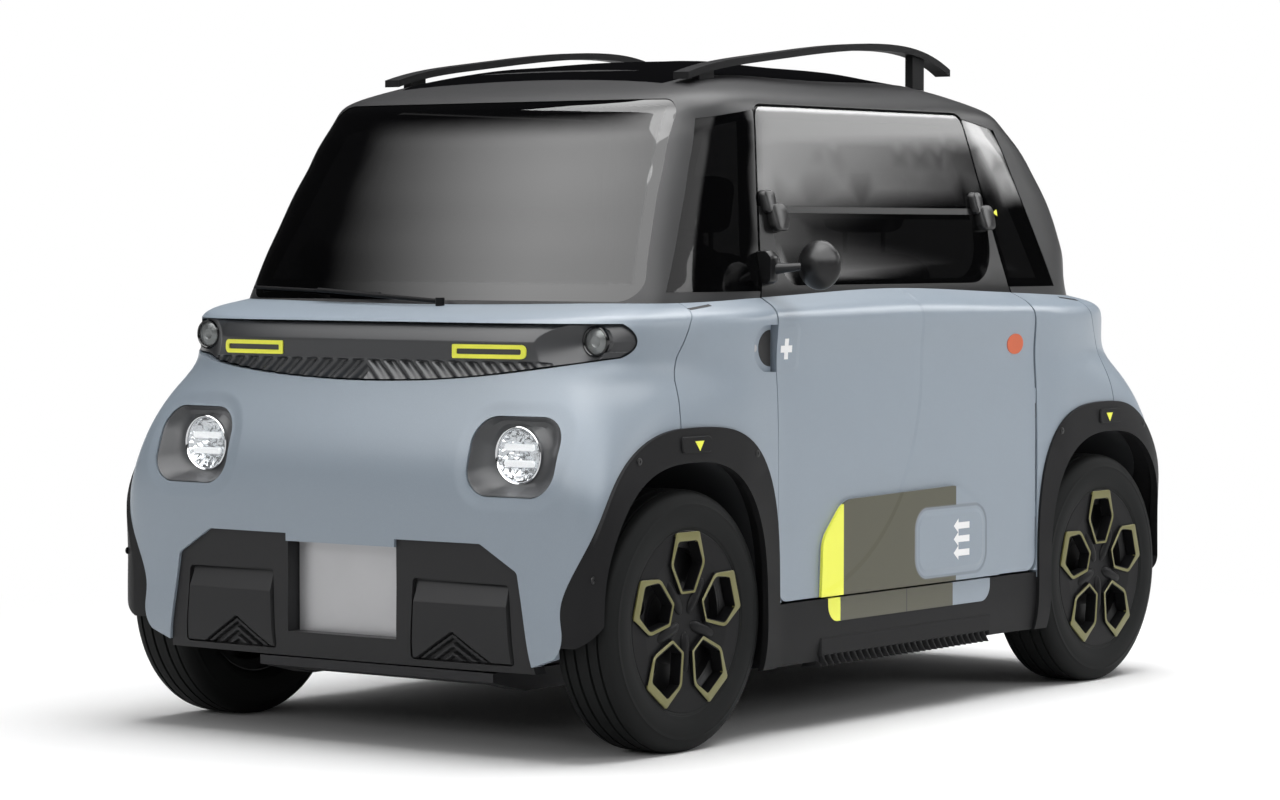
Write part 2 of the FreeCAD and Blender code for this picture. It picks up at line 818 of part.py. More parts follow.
def make_cabin(cabin_outer, cabin_inner, glass_shell):
    """The cabin's frame, its fixed windows and the upper halves of the doors."""
    wall = cabin_outer.cut(cabin_inner)
    pane_base = greenhouse(pane_bed)
    cuts = [screen_prism(0, -1), screen_prism(0, 1), roof_prism(0)]
    quarters = []
    for front in (True, False):
        cuts += both_sides(quarter_prism(pane_overlap, front))
        cuts += both_sides(quarter_prism(0, front).cut(pane_base))
        quarters += both_sides(glass_shell.common(quarter_prism(glass_gap, front)))
    doors = door_prism(-door_gap, 0, far_x)
    cuts += [doors, turned(doors)]
    save("cabin_frame", wall.cut(cuts))
    save("windscreen", glass_shell.common(screen_prism(glass_gap, -1)))
    save("rear_window", glass_shell.common(screen_prism(glass_gap, 1)))
    save("roof_glass", glass_shell.common(roof_prism(glass_gap)))
    save("quarter_windows", quarters)

    beds = [upper_pane_prism(0, 0).cut(pane_base), lower_pane_prism(0).cut(pane_base)]
    openings = [upper_pane_prism(upper_opening_inset, rail_overlap),
                lower_pane_prism(lower_pane_overlap)]
    upper = wall.common(door_prism(0, 0, far_x)).cut(beds + openings)
    save("door_frame_left", upper)
    save("door_frame_right", turned(upper))
    glass = [glass_shell.common(upper_pane_prism(glass_gap, glass_gap)),
             glass_shell.common(lower_pane_prism(glass_gap))]
    save("door_glass_left", glass)
    save("door_glass_right", [turned(pane) for pane in glass])


hinge_x = 674
hinge_y = door_half_length + door_gap / 2
hinge_radius = 2.4
hinge_heights = [420, 690]
hinge_length = 36
hinge_leaf = 2.4

pocket_outline = [(-379, door_bottom), (368, door_bottom), (368, 400), (302, 452), (179, 512), (-288, 503),
                  (-372, 420)]
pocket_radii = [0, 0, 60, 60, 60, 90, 60]


def make_doors(cabin_cutter):
    """The lower half of the door, thick enough for its shell and its inner trim."""
    skin_part = body_band(0, door_skin, door_angles)
    skin_part = skin_part.common(door_prism(0, 0, far_x)).cut(cabin_cutter)
    inner = body_band(door_skin, door_depth, door_angles)
    below = box((0, -far_y, door_bottom), (far_x, far_y, cabin_base_height))
    inner = inner.common(door_prism(door_step, 0, far_x)).common(below)
    pocket = rounded_plate(pocket_outline, pocket_radii, ALONG_X,
                           body_half_width - door_hollow - door_skin / 2,
                           body_half_width - door_hollow + pocket_rise)
    barrels = [rod((hinge_x, hinge_y, z + seat_gap), (hinge_x, hinge_y, z + hinge_length),
                   hinge_radius) for z in hinge_heights]
    leaves = [box((hinge_x - hinge_leaf, door_half_length - door_step, z + seat_gap),
                  (hinge_x, hinge_y, z + hinge_length)) for z in hinge_heights]
    door = join([skin_part, inner, pocket] + leaves + barrels)
    save("door_panel_left", door)
    save("door_panel_right", turned(door))
    fixed = []
    for z in hinge_heights:
        barrel = rod((hinge_x, hinge_y, z - hinge_length), (hinge_x, hinge_y, z), hinge_radius)
        leaf = box((hinge_x - hinge_leaf, hinge_y, z - hinge_length),
                   (hinge_x, door_half_length + door_gap - seat_gap, z))
        fixed.append(barrel.fuse(leaf))
    save("door_hinges", fixed + [turned(one) for one in fixed])


# The structure under the cabin

tub_half_width = 612
tub_half_length = 558
tub_wall = 12
tub_floor = 176
deck_wall = 14
rail_x = 300
rail_width = 56
rail_bottom = 118
rail_end_y = 1090
rail_rise_y = 980
rail_end_bottom = 144
cross_length = 50


def make_structure(cabin_outer, cabin_inner):
    """The tub round the seats with its front and rear decks, and the frame below it."""
    low = box((-tub_half_width, -tub_half_length, tub_floor - tub_wall),
              (tub_half_width, tub_half_length, cabin_base_height))
    room = box((-tub_half_width + tub_wall, -tub_half_length + tub_wall, tub_floor),
               (tub_half_width - tub_wall, tub_half_length - tub_wall,
                cabin_base_height + overrun))
    base = Part.Face(Part.Wire([e for e in cabin_outer.Edges
                                if abs(e.CenterOfMass.z - cabin_base_height) < seat_gap
                                and e.Length > overrun]))
    deck = base.extrude(ALONG_Z * -deck_wall)
    side_cut = door_prism(-door_gap, -far_x, far_x)
    tub = low.fuse(deck).cut([room, side_cut]).removeSplitter()
    save("cabin_tub", tub)

    rails = []
    for sign in (-1, 1):
        x = sign * rail_x
        rails.append(box((x - rail_width / 2, -rail_end_y, rail_bottom),
                         (x + rail_width / 2, rail_end_y, tub_floor - tub_wall)))
    crosses = [box((-rail_x, y - cross_length / 2, rail_bottom),
                   (rail_x, y + cross_length / 2, tub_floor - tub_wall))
               for y in (-rail_end_y + cross_length / 2, -tub_half_length, tub_half_length,
                         rail_end_y - cross_length / 2)]
    wedge = plate([(-rail_rise_y, rail_bottom), (-rail_end_y - cross_length, rail_bottom),
                   (-rail_end_y, rail_end_bottom)], ALONG_X, -far_x, far_x)
    save("chassis_frame", join(rails + crosses).cut([wedge, turned(wedge)]))


# Seats, controls and heavy masses

seat_x = 275
seat_width = 430
seat_front = -120
seat_back = 330
seat_height = 470
seat_thickness = 70
back_top = 1060
back_lean = 110
back_thickness = 60
headrest_width = 230
headrest_height = 150
headrest_gap = 30
headrest_post_x = 57.5
headrest_post_radius = 7
seat_stagger = 60
seat_base_inset = 60
battery_half_width = 190
battery_half_length = 240
battery_height = 170


def make_seats():
    """Two thin seats on closed bases, the passenger's a little further back."""
    seats = []
    bases = []
    for sign, shift in ((1, 0), (-1, seat_stagger)):
        x0 = sign * seat_x - seat_width / 2
        x1 = sign * seat_x + seat_width / 2
        front, back = seat_front + shift, seat_back + shift
        cushion = box((x0, front, seat_height - seat_thickness), (x1, back, seat_height))
        outline = [(back - back_thickness, seat_height), (back, seat_height - seat_thickness),
                   (back + back_lean, back_top), (back + back_lean - back_thickness, back_top)]
        rest = plate(outline, ALONG_X, x0, x1)
        top = back_top + headrest_gap
        mid = sign * seat_x
        head_y = back + back_lean - back_thickness
        head = box((mid - headrest_width / 2, head_y, top),
                   (mid + headrest_width / 2, head_y + back_thickness, top + headrest_height))
        posts = [rod((mid + side * headrest_post_x, head_y + back_thickness / 2, back_top),
                     (mid + side * headrest_post_x, head_y + back_thickness / 2, top),
                     headrest_post_radius) for side in (-1, 1)]
        seats.append(join([cushion, rest, head] + posts))
        bases.append(box((x0 + seat_base_inset, front + seat_base_inset, tub_floor),
                         (x1 - seat_base_inset, back - seat_base_inset,
                          seat_height - seat_thickness)))
    save("seats", seats)
    battery = box((-seat_x - battery_half_width + seat_base_inset,
                   seat_front + seat_stagger + 2 * seat_base_inset, tub_floor + tub_wall),
                  (-seat_x + battery_half_width - seat_base_inset,
                   seat_back + seat_stagger - 2 * seat_base_inset,
                   tub_floor + tub_wall + battery_height))
    save("seat_bases", [bases[0], bases[1].cut(battery)])
    save("battery_box", battery)


dash_bottom = 780
dash_back = -470
dash_lip = -520
dash_top_height = 955
dash_half_width = 560
dash_front = -725.4
column_start = (275, -600, 800)
column_end = (275, -330, 905)
column_radius = 26
wheel_rim_radius = 175
wheel_rim_section = 14
wheel_hub_radius = 52
wheel_spoke_radius = 9.8
steering_lock = 30


def make_controls():
    """The dashboard on the front deck, the steering column and the steering wheel."""
    back_wall = -tub_half_length + tub_wall
    outline = [(back_wall, dash_bottom), (dash_lip, dash_bottom), (dash_back, cabin_base_height),
               (dash_lip, dash_top_height), (-tub_half_length, dash_top_height),
               (dash_front, cabin_base_height + seat_gap),
               (back_wall, cabin_base_height + seat_gap)]
    dash = plate(outline, ALONG_X, -dash_half_width, dash_half_width)
    column = rod(column_start, column_end, column_radius)
    save("steering_column", column.common(box((0, back_wall, 0), (far_x, 0, far_height))))
    save("dashboard", dash.cut(rod(column_start, column_end, column_radius + seat_gap)))
    line = Vector(*column_end) - Vector(*column_start)
    line.normalize()
    centre = Vector(*column_end) + line * (wheel_rim_section + seat_gap)
    rim = Part.makeTorus(wheel_rim_radius, wheel_rim_section, centre, line)
    hub = Part.makeCylinder(wheel_hub_radius, 2 * wheel_rim_section,
                            centre - line * wheel_rim_section, line)
    up = line.cross(ALONG_X)
    spokes = []
    for direction in (ALONG_X, ALONG_X * -1, up * -1 if up.z > 0 else up):
        spokes.append(Part.makeCylinder(wheel_spoke_radius, wheel_rim_radius, centre, direction))
    save("steering_wheel", join([rim, hub] + spokes))


motor_half_width = 190
motor_radius = 110
motor_z = 290


def make_masses():
    """The drive motor between the front wheels, one plain block with its gearbox end."""
    motor = rod((-motor_half_width, -axle_y, motor_z), (motor_half_width, -axle_y, motor_z),
                motor_radius)
    feet = [box((sign * rail_x - sign * rail_width / 2 - rail_width / 2, -axle_y - cross_length,
                 tub_floor - tub_wall),
                (sign * rail_x - sign * rail_width / 2 + rail_width / 2, -axle_y + cross_length,
                 motor_z)) for sign in (-1, 1)]
    beam = box((-rail_x, -axle_y - cross_length, tub_floor - tub_wall),
               (rail_x, -axle_y + cross_length, tub_floor + tub_wall))
    save("drive_motor", join([motor, beam] + feet))


# Wheels, built on their own axis along X and moved to their places

# place across the tyre and radius, from the bead out to the tread
tyre_profile = [(57, bead_radius), (tyre_width / 2, 226), (73, 256), (50, tyre_radius)]
hub_radius = 62
hub_bore = 20
disc_x = 12
disc_wall = 5
disc_rise = 14
disc_rise_length = 30
disc_hole_centre = 117
disc_hole_radius = 22
rim_wall = 4
well_depth = 22
well_slope = 2
rim_lip = 1
dish_radius = 43
shoulder_radius = 147
cover_wall = 4
cover_dish = 10
cover_edge = 6
rim_clear_radius = rim_radius - rim_wall - 2 * seat_gap
window_count = 5
window_depth = 26

# half width and radius of a cover window's frame and of its opening, from the rim inwards
frame_points = [(42, 190), (62, 122), (25, 59)]
opening_points = [(34, 169), (51, 124), (19, 67)]


def turned_profile(points):
    """A ring made by turning a closed outline (place along X, radius) round the X axis."""
    corners = [Vector(x, 0, r) for x, r in points]
    face = Part.Face(Part.makePolygon(corners + corners[:1]))
    return face.revolve(CENTRE, ALONG_X, 360)


def tyre_ring():
    """A tyre: a flat tread with sloping shoulders and bulging side walls."""
    other = [(-x, r) for x, r in reversed(tyre_profile)]
    return turned_profile(tyre_profile + other)


def wheel_rim():
    """The steel wheel: a barrel with lipped edges, a dished disc and a hub face."""
    half = rim_width / 2
    seat, well = rim_radius - seat_gap, rim_radius - well_depth
    ledge, step = 3 * rim_wall, 5 * rim_wall
    barrel = turned_profile([
        (-half, seat - rim_wall), (-half + ledge, seat - rim_wall),
        (-half + step, well - rim_wall), (half - step, well - rim_wall),
        (half - ledge, seat - rim_wall), (half, seat - rim_wall), (half, seat),
        (half - ledge + well_slope, seat), (half - step + well_slope, well),
        (-half + step - well_slope, well), (-half + ledge - well_slope, seat), (-half, seat)])
    crest_radius = hub_radius + disc_rise_length
    end_x, end_radius = disc_x + disc_rise / 2, well - rim_wall / 2
    disc = turned_profile([
        (disc_x - disc_wall, hub_bore + seat_gap), (disc_x, hub_bore + seat_gap),
        (disc_x, hub_radius), (disc_x + disc_rise, crest_radius), (end_x, end_radius),
        (end_x - disc_wall, end_radius), (disc_x + disc_rise - disc_wall, crest_radius),
        (disc_x - disc_wall, hub_radius)])
    holes = []
    for i in range(window_count):
        hole = rod((-disc_hole_centre, 0, disc_hole_centre), (disc_hole_centre, 0, disc_hole_centre),
                   disc_hole_radius)
        hole.rotate(CENTRE, ALONG_X, 360 / window_count * i)
        holes.append(hole)
    return join([barrel, disc]).cut(holes)


def window_prism(points, start, stop):
    """One window of the cover: a long hexagon that narrows to the hub, as a prism."""
    outline = points + [(-across, radius) for across, radius in reversed(points)]
    return plate(outline, ALONG_X, start, stop)


def wheel_cover():
    """The cover: a shallow dish with five framed windows round its hub."""
    face = cover_face_x - wheel_centre_x
    back = face - window_depth
    front, behind = face - cover_wall, face - 2 * cover_wall
    hollow = face - cover_dish
    rim_back = face - cover_edge - rim_lip
    dish = turned_profile([
        (hollow - cover_wall, 0), (hollow, 0), (hollow, dish_radius), (front, shoulder_radius),
        (front, cover_radius - cover_wall), (face - cover_edge, cover_radius),
        (rim_back, cover_radius), (rim_back, cover_radius - cover_wall),
        (behind, cover_radius - 4 * cover_wall), (behind, shoulder_radius),
        (hollow - cover_wall, dish_radius)])
    rim_room = tube((back - overrun, 0, 0), (behind, 0, 0), cover_radius * 2, rim_clear_radius)
    edge = rod((back - overrun, 0, 0), (face + overrun, 0, 0), cover_radius - 2 * cover_wall)
    frames = []
    rooms = []
    for i in range(window_count):
        frame = window_prism(frame_points, back, face).common(edge).cut(rim_room)
        room = window_prism(opening_points, back - overrun, face + overrun)
        for shape, group in ((frame, frames), (room, rooms)):
            shape.rotate(CENTRE, ALONG_X, 360 / window_count * i)
            group.append(shape)
    return join([dish] + frames).cut(rooms)


def make_wheels():
    """Four wheels, each a tyre, a steel wheel and a cover."""
    tyre, rim, cover = tyre_ring(), wheel_rim(), wheel_cover()
    for name, side, end in (("front_left", 1, -1), ("front_right", -1, -1),
                            ("rear_left", 1, 1), ("rear_right", -1, 1)):
        for part, shape in (("tyre", tyre), ("wheel", rim), ("cover", cover)):
            placed = shape.copy() if side > 0 else turned(shape)
            placed.translate(Vector(side * wheel_centre_x, end * axle_y, axle_z))
            save(part + "_" + name, placed)


# Axles, knuckles and struts

kingpin_foot = Vector(583, -axle_y, 205)
top_ball_radius = 12
top_ball = Vector(482, -axle_y, axle_z + arch_liner[2] - seat_gap - top_ball_radius)
kingpin_line = (top_ball - kingpin_foot).normalize()
pin_radius = 8
pin_reach = 40
boss_radius = 14
boss_reach = 12
arm_radius = 12
arm_spread = 110
arm_drop = 20
arm_aim = 6
eye_radius = 16
eye_reach = 38
upright_inner_x = 512
upright_wall = 24
upright_half_length = 34
upright_rise = 92
foot_bottom = 226
foot_thickness = 14
foot_half_length = 14
foot_outer_x = 572
stub_radius = 48
stub_inner_x = 526
strut_x = 494
strut_radius = 22
strut_foot = 20
neck_radius = 8
spindle_reach = 18
stub_end_x = wheel_centre_x + disc_x - disc_wall - seat_gap
rear_beam_radius = 26
rear_beam_half_length = 516
rear_hub_inner_x = 496
rear_pivot_y = tub_half_length + 40
rear_pivot_z = tub_floor - tub_wall + rear_beam_radius + seat_gap
rear_pivot_inner = 40
rear_pivot_outer = 50


def on_kingpin(reach):
    """A point on the kingpin's line, at a reach above its foot."""
    return kingpin_foot + kingpin_line * reach


def hub_stub(sign, y, inner_x):
    """The stub behind a wheel and the spindle in the wheel's bore."""
    stub = rod((sign * inner_x, y, axle_z), (sign * stub_end_x, y, axle_z), stub_radius)
    spindle = rod((sign * (stub_end_x - seat_gap), y, axle_z),
                  (sign * (stub_end_x + disc_wall + spindle_reach), y, axle_z), hub_bore)
    return [stub, spindle]


def make_axles():
    """The front knuckles with their struts and arms, and the rear trailing arms."""
    y = -axle_y
    upright = box((upright_inner_x, y - upright_half_length, foot_bottom),
                  (upright_inner_x + upright_wall, y + upright_half_length,
                   axle_z + upright_rise))
    foot = box((upright_inner_x, y - foot_half_length, foot_bottom),
               (foot_outer_x, y + foot_half_length, foot_bottom + foot_thickness))
    strut = rod((strut_x, y, axle_z + strut_foot),
                (top_ball.x, y, top_ball.z - top_ball_radius), strut_radius)
    neck = rod((top_ball.x, y, top_ball.z - 2 * top_ball_radius), top_ball, neck_radius)
    eye = rod(on_kingpin(boss_reach + seat_gap), on_kingpin(eye_reach), eye_radius)
    bore = rod(on_kingpin(0), on_kingpin(pin_reach + neck_radius), pin_radius + seat_gap)
    knuckle = join(hub_stub(1, y, stub_inner_x) + [
        upright, foot, strut, neck, eye, Part.makeSphere(top_ball_radius, top_ball)])
    knuckle = knuckle.cut(bore)
    save("knuckle_left", knuckle)
    save("knuckle_right", mirrored(knuckle))

    rods = [rod((rail_x, y + side * arm_spread, kingpin_foot.z - arm_drop),
                on_kingpin(-arm_aim), arm_radius) for side in (-1, 1)]
    boss = rod(on_kingpin(-boss_radius), on_kingpin(boss_reach), boss_radius)
    pin = rod(on_kingpin(0), on_kingpin(pin_reach), pin_radius)
    rail_edge = rail_x + rail_width / 2 + seat_gap
    rail = box((0, y - 2 * arm_spread, 0), (rail_edge, y + 2 * arm_spread, far_height))
    save("front_arms", both_sides(join(rods + [boss, pin]).cut(rail)))

    parts = [rod((-rear_beam_half_length, axle_y, axle_z),
                 (rear_beam_half_length, axle_y, axle_z), rear_beam_radius)]
    for sign in (-1, 1):
        x = sign * rail_x
        parts += hub_stub(sign, axle_y, rear_hub_inner_x)
        parts.append(rod((x, axle_y, axle_z), (x, rear_pivot_y, rear_pivot_z), rear_beam_radius))
        parts.append(rod((sign * (rail_x - rear_pivot_inner), rear_pivot_y, rear_pivot_z),
                         (sign * (rail_x + rear_pivot_outer), rear_pivot_y, rear_pivot_z),
                         rear_beam_radius))
    save("rear_axle", join(parts))


# Roof bars, wiper and mirrors

bar_x = 413
bar_width = 42
bar_points = [(-535, 1446), (-464, 1463), (-232, 1496), (0, 1522), (242, 1537), (438, 1521),
              (541, 1486)]
bar_thickness = 16
bar_foot_half_width = 10.5
bar_feet = [(-480, -425, 1458), (390, 440, 1514)]


def make_roof_bars(cabin_outer):
    """Two arched bars along the roof, each on a foot at either end."""
    top = [Vector(bar_x - bar_width / 2, y, z) for y, z in bar_points]
    low = [Vector(p.x, p.y, p.z - bar_thickness) for p in top]
    edges = [curve(top), Part.makeLine(top[-1], low[-1]), curve(list(reversed(low))),
             Part.makeLine(low[0], top[0])]
    bar = Part.Face(Part.Wire(edges)).extrude(ALONG_X * bar_width)
    feet = []
    for foot_front, foot_rear, foot_top in bar_feet:
        feet.append(box((bar_x - bar_foot_half_width, foot_front, door_top_height),
                        (bar_x + bar_foot_half_width, foot_rear, foot_top)))
    whole = join([bar] + feet).cut(greenhouse(-seat_gap))
    whole = sorted(whole.Solids, key=lambda s: s.Volume)[-1]
    save("roof_bars", both_sides(whole))


wiper_pivot = (60, -938, 944)
wiper_arm_end = (-300, -925, 966)
wiper_blade = ((-520, -890, 970), (-120, -926, 958))
wiper_arm_radius = 5
wiper_blade_radius = 4
wiper_post_radius = 10
wiper_post_foot = 30
wiper_post_rise = 8


def make_wiper():
    """One wiper at the foot of the windscreen."""
    x, y, z = wiper_pivot
    arm = rod(wiper_pivot, wiper_arm_end, wiper_arm_radius)
    blade = rod(*wiper_blade, wiper_blade_radius)
    post = rod((x, y, z - wiper_post_foot), (x, y, z + wiper_post_rise), wiper_post_radius)
    whole = join([arm, post, blade]).cut(body_band(-seat_gap, overrun, front_panel_angles))
    save("wiper", sorted(whole.Solids, key=lambda s: s.Volume)[-1])


mirror_centre = (722, -460, 1023)
mirror_radius = 54
mirror_tip_radius = 27
mirror_cone_front = 23
mirror_cone_length = 27.6
mirror_ring_front = 4.6
mirror_ring_back = 18.4
mirror_arm_radius = 7
mirror_arm_start = (705.8, -473.8, 1023)
mirror_arm_end = (618, -492, 1012)
mirror_foot = ((590, -506, 992), (624, -478, 1040))


def make_mirrors():
    """A round mirror with a coned back, on an arm from the door's front corner."""
    x, y, z = mirror_centre
    head = Part.makeCone(mirror_tip_radius, mirror_radius, mirror_cone_length,
                         Vector(x, y - mirror_cone_front, z), ALONG_Y)
    ring = rod((x, y + mirror_ring_front, z), (x, y + mirror_ring_back, z), mirror_radius)
    arm = rod(mirror_arm_start, mirror_arm_end, mirror_arm_radius)
    foot = box(*mirror_foot)
    whole = join([head, ring, arm, foot]).cut(greenhouse(-seat_gap))
    whole = sorted(whole.Solids, key=lambda s: s.Volume)[-1]
    save("mirror_left", whole)
    save("mirror_right", mirrored(whole))


def main():
    """Builds and writes every sub-part."""
    os.makedirs("parts", exist_ok=True)
    cabin_outer = greenhouse(0)
    cabin_inner = greenhouse(cabin_wall)
    cabin_cutter = greenhouse(-2 * seat_gap)
    glass_shell = greenhouse(glass_inset).cut(greenhouse(glass_inset + glass_wall))
    make_body(cabin_cutter)
    make_trims()
    make_sills()
    make_cabin(cabin_outer, cabin_inner, glass_shell)
    make_doors(cabin_cutter)
    make_structure(cabin_outer, cabin_inner)
    make_seats()
    make_controls()
    make_masses()
    make_wheels()
    make_axles()
    make_roof_bars(cabin_outer)
    make_wiper()
    make_mirrors()


main()
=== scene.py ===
# %% [markdown]
# # Two-seat electric microcar
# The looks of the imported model: finishes, lamps, decals and fine forms, in metres.
# +Z is up, the front faces -Y and the car's left side is +X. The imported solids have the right
# sizes already. They could all be modelled again, but most only need a finish, so new pieces
# are made just where the eye wants more than a plain solid: lamps, tyres, mirrors and seats.

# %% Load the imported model
import json
import math
import bpy
import numpy as np
from mathutils import Matrix, Vector
from mathutils.bvhtree import BVHTree

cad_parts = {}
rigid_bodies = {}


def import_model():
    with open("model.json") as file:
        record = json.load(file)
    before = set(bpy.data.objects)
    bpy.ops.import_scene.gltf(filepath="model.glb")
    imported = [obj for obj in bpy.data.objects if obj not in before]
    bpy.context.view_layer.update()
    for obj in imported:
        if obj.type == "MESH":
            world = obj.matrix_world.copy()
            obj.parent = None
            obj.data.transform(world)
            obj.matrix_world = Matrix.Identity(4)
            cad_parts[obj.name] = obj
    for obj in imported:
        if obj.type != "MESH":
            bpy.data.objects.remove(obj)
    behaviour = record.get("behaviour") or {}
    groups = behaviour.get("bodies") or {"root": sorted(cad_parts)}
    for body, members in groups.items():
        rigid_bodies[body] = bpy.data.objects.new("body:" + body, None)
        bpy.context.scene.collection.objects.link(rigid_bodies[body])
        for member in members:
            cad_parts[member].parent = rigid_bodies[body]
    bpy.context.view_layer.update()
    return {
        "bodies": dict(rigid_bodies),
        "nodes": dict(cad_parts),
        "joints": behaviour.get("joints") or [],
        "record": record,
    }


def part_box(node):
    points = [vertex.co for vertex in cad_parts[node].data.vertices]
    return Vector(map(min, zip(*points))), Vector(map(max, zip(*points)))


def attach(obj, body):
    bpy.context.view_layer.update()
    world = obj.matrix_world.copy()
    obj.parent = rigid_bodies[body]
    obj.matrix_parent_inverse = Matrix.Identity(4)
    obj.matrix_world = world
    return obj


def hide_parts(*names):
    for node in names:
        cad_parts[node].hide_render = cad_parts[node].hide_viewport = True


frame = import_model()
nodes = frame["nodes"]
MM = 0.001
TURN = 2 * math.pi
CORNERS = ("front_left", "front_right", "rear_left", "rear_right")
print("loaded", len(nodes), "nodes")

# %% [markdown]
# ## The body's and the cabin's outer surfaces
# The real panels are large smooth mouldings, so light runs over them without a kink. The packed
# solids are triangles. A subdivision surface would smooth them, but would also move their
# edges. So the same rings as in the CAD source are worked out finely here: they give exact
# normals, and carry the fine forms.

# %% The rings of both surfaces
HALF_LENGTH, HALF_WIDTH, BELT = 1205.0, 688.0, 973.0
BODY_CROWN = 0.02
BODY_RINGS = np.array([
    (0.144, 0.144, 0.981, 0.977, 14), (0.206, 0.206, 0.9975, 0.997, 17),
    (0.308, 0.308, 1.000, 1.000, 20), (0.432, 0.432, 1.000, 1.000, 20),
    (0.534, 0.534, 1.000, 1.000, 20), (0.617, 0.617, 0.9925, 1.000, 15),
    (0.700, 0.700, 0.971, 0.9985, 11), (0.770, 0.770, 0.946, 0.9955, 7.8),
    (0.822, 0.822, 0.932, 0.993, 6.0), (0.870, 0.870, 0.9295, 0.9955, 5.6),
    (0.908, 0.908, 0.926, 0.9955, 5.7), (0.930, 0.938, 0.9125, 0.988, 6.0),
    (0.942, 0.962, 0.884, 0.966, 6.6), (0.952, 0.980, 0.836, 0.932, 7.4),
    (0.962, 0.995, 0.768, 0.896, 8.5), (1.028, 1.028, 0.700, 0.800, 9.0)])
CABIN_HALF_LENGTH, CABIN_HALF_WIDTH, ROOF = 905.0, 622.0, 1500.0
CABIN_CROWN = 0.014
CABIN_RINGS = np.array([
    (0.600, 0.600, 1.022, 1.022, 1.000, 10), (0.640, 0.640, 1.002, 1.014, 0.993, 10),
    (0.667, 0.667, 0.984, 1.019, 0.980, 10), (0.700, 0.700, 0.961, 1.029, 0.963, 10),
    (0.733, 0.733, 0.932, 1.016, 0.947, 10), (0.767, 0.767, 0.903, 0.995, 0.931, 10),
    (0.800, 0.800, 0.871, 0.962, 0.915, 10), (0.833, 0.833, 0.836, 0.920, 0.899, 10),
    (0.867, 0.867, 0.802, 0.868, 0.883, 10), (0.893, 0.893, 0.768, 0.811, 0.870, 10),
    (0.914, 0.914, 0.733, 0.748, 0.855, 11.5), (0.934, 0.930, 0.684, 0.668, 0.822, 11),
    (0.951, 0.944, 0.610, 0.588, 0.762, 9), (0.968, 0.960, 0.520, 0.500, 0.660, 6.5),
    (0.981, 0.975, 0.415, 0.405, 0.520, 5.4), (0.989, 0.986, 0.300, 0.290, 0.370, 4.4),
    (0.9945, 0.9935, 0.190, 0.185, 0.230, 3.4), (0.997, 0.997, 0.100, 0.100, 0.120, 2.6)])
print("rings", len(BODY_RINGS), len(CABIN_RINGS))


# %% From a few rings to a fine grid
def spline(knots, values, at):
    """Natural cubic spline: solves the tridiagonal system for the second derivatives M,
    then s(t) = M0 (t1-t)^3/6h + M1 (t-t0)^3/6h + (v0/h - M0 h/6)(t1-t) + (v1/h - M1 h/6)(t-t0)."""
    knots, values = np.asarray(knots, float), np.asarray(values, float)
    count = len(knots)
    step = np.diff(knots)
    system = np.eye(count)
    target = np.zeros((count,) + values.shape[1:])
    for i in range(1, count - 1):
        system[i, i - 1:i + 2] = step[i - 1], 2 * (step[i - 1] + step[i]), step[i]
        target[i] = 6 * ((values[i + 1] - values[i]) / step[i]
                         - (values[i] - values[i - 1]) / step[i - 1])
    second = np.linalg.solve(system, target)
    i = np.clip(np.searchsorted(knots, at, side="right") - 1, 0, count - 2)
    column = (-1,) + (1,) * (values.ndim - 1)
    h = step[i].reshape(column)
    a = (knots[i + 1] - at).reshape(column)
    b = (at - knots[i]).reshape(column)
    return (second[i] * a ** 3 / (6 * h) + second[i + 1] * b ** 3 / (6 * h)
            + (values[i] / h - second[i] * h / 6) * a
            + (values[i + 1] / h - second[i + 1] * h / 6) * b)


def ring_grid(rings, crown, count_up, count_round):
    """Points of a stack of superellipse rings: r = (|cos a / W|^n + |sin a / L|^n)^(-1/n),
    x = r cos a, y = -r sin a (1 - crown (x/W)^2), z = side + (end - side) sin^2 a."""
    travel = np.r_[0, np.cumsum(np.hypot(np.diff(rings[:, 0]), np.diff(rings[:, 2])))]
    fine = spline(travel, rings, np.linspace(0, travel[-1], count_up))
    angle = np.linspace(0, TURN, count_round, endpoint=False)
    across, along = np.cos(angle)[None], np.sin(angle)[None]
    end, side, front, rear, width, square = (fine[:, i:i + 1] for i in range(6))
    length = np.where(along >= 0, front, rear)
    reach = (np.abs(across / width) ** square + np.abs(along / length) ** square) ** (-1 / square)
    x = reach * across
    y = -reach * along * (1 - crown * (x / width) ** 2)
    z = side + (end - side) * along ** 2
    return np.stack([x, y, z], -1)


print("a spline through 0, 1 and 4, at 1.5:", spline([0, 1, 2], [0, 1, 4], np.array([1.5])))


# %% The body with its hollow doors, and the cabin
def smooth_step(value, low, high):
    """Rises smoothly from 0 to 1: s = t^2 (3 - 2t)."""
    t = np.clip((value - low) / (high - low), 0, 1)
    return t * t * (3 - 2 * t)


HOLLOW, HOLLOW_FLAT, HOLLOW_END, HOLLOW_TOP = 14, 500, 690, 830


def body_grid(count_up=240, count_round=1440):
    """The lower body's points, with the doors' shallow hollow in its sides."""
    end, side, length, width, square = BODY_RINGS.T
    rings = np.stack([end * BELT, side * BELT, length * HALF_LENGTH, length * HALF_LENGTH,
                      width * HALF_WIDTH, square], -1)
    grid = ring_grid(rings, BODY_CROWN, count_up, count_round)
    hollow = HOLLOW * (1 - smooth_step(np.abs(grid[..., 1]), HOLLOW_FLAT, HOLLOW_END))
    hollow *= 1 - smooth_step(grid[..., 2], HOLLOW_TOP, BELT)
    grid[..., 0] -= np.sign(grid[..., 0]) * hollow
    return grid * MM


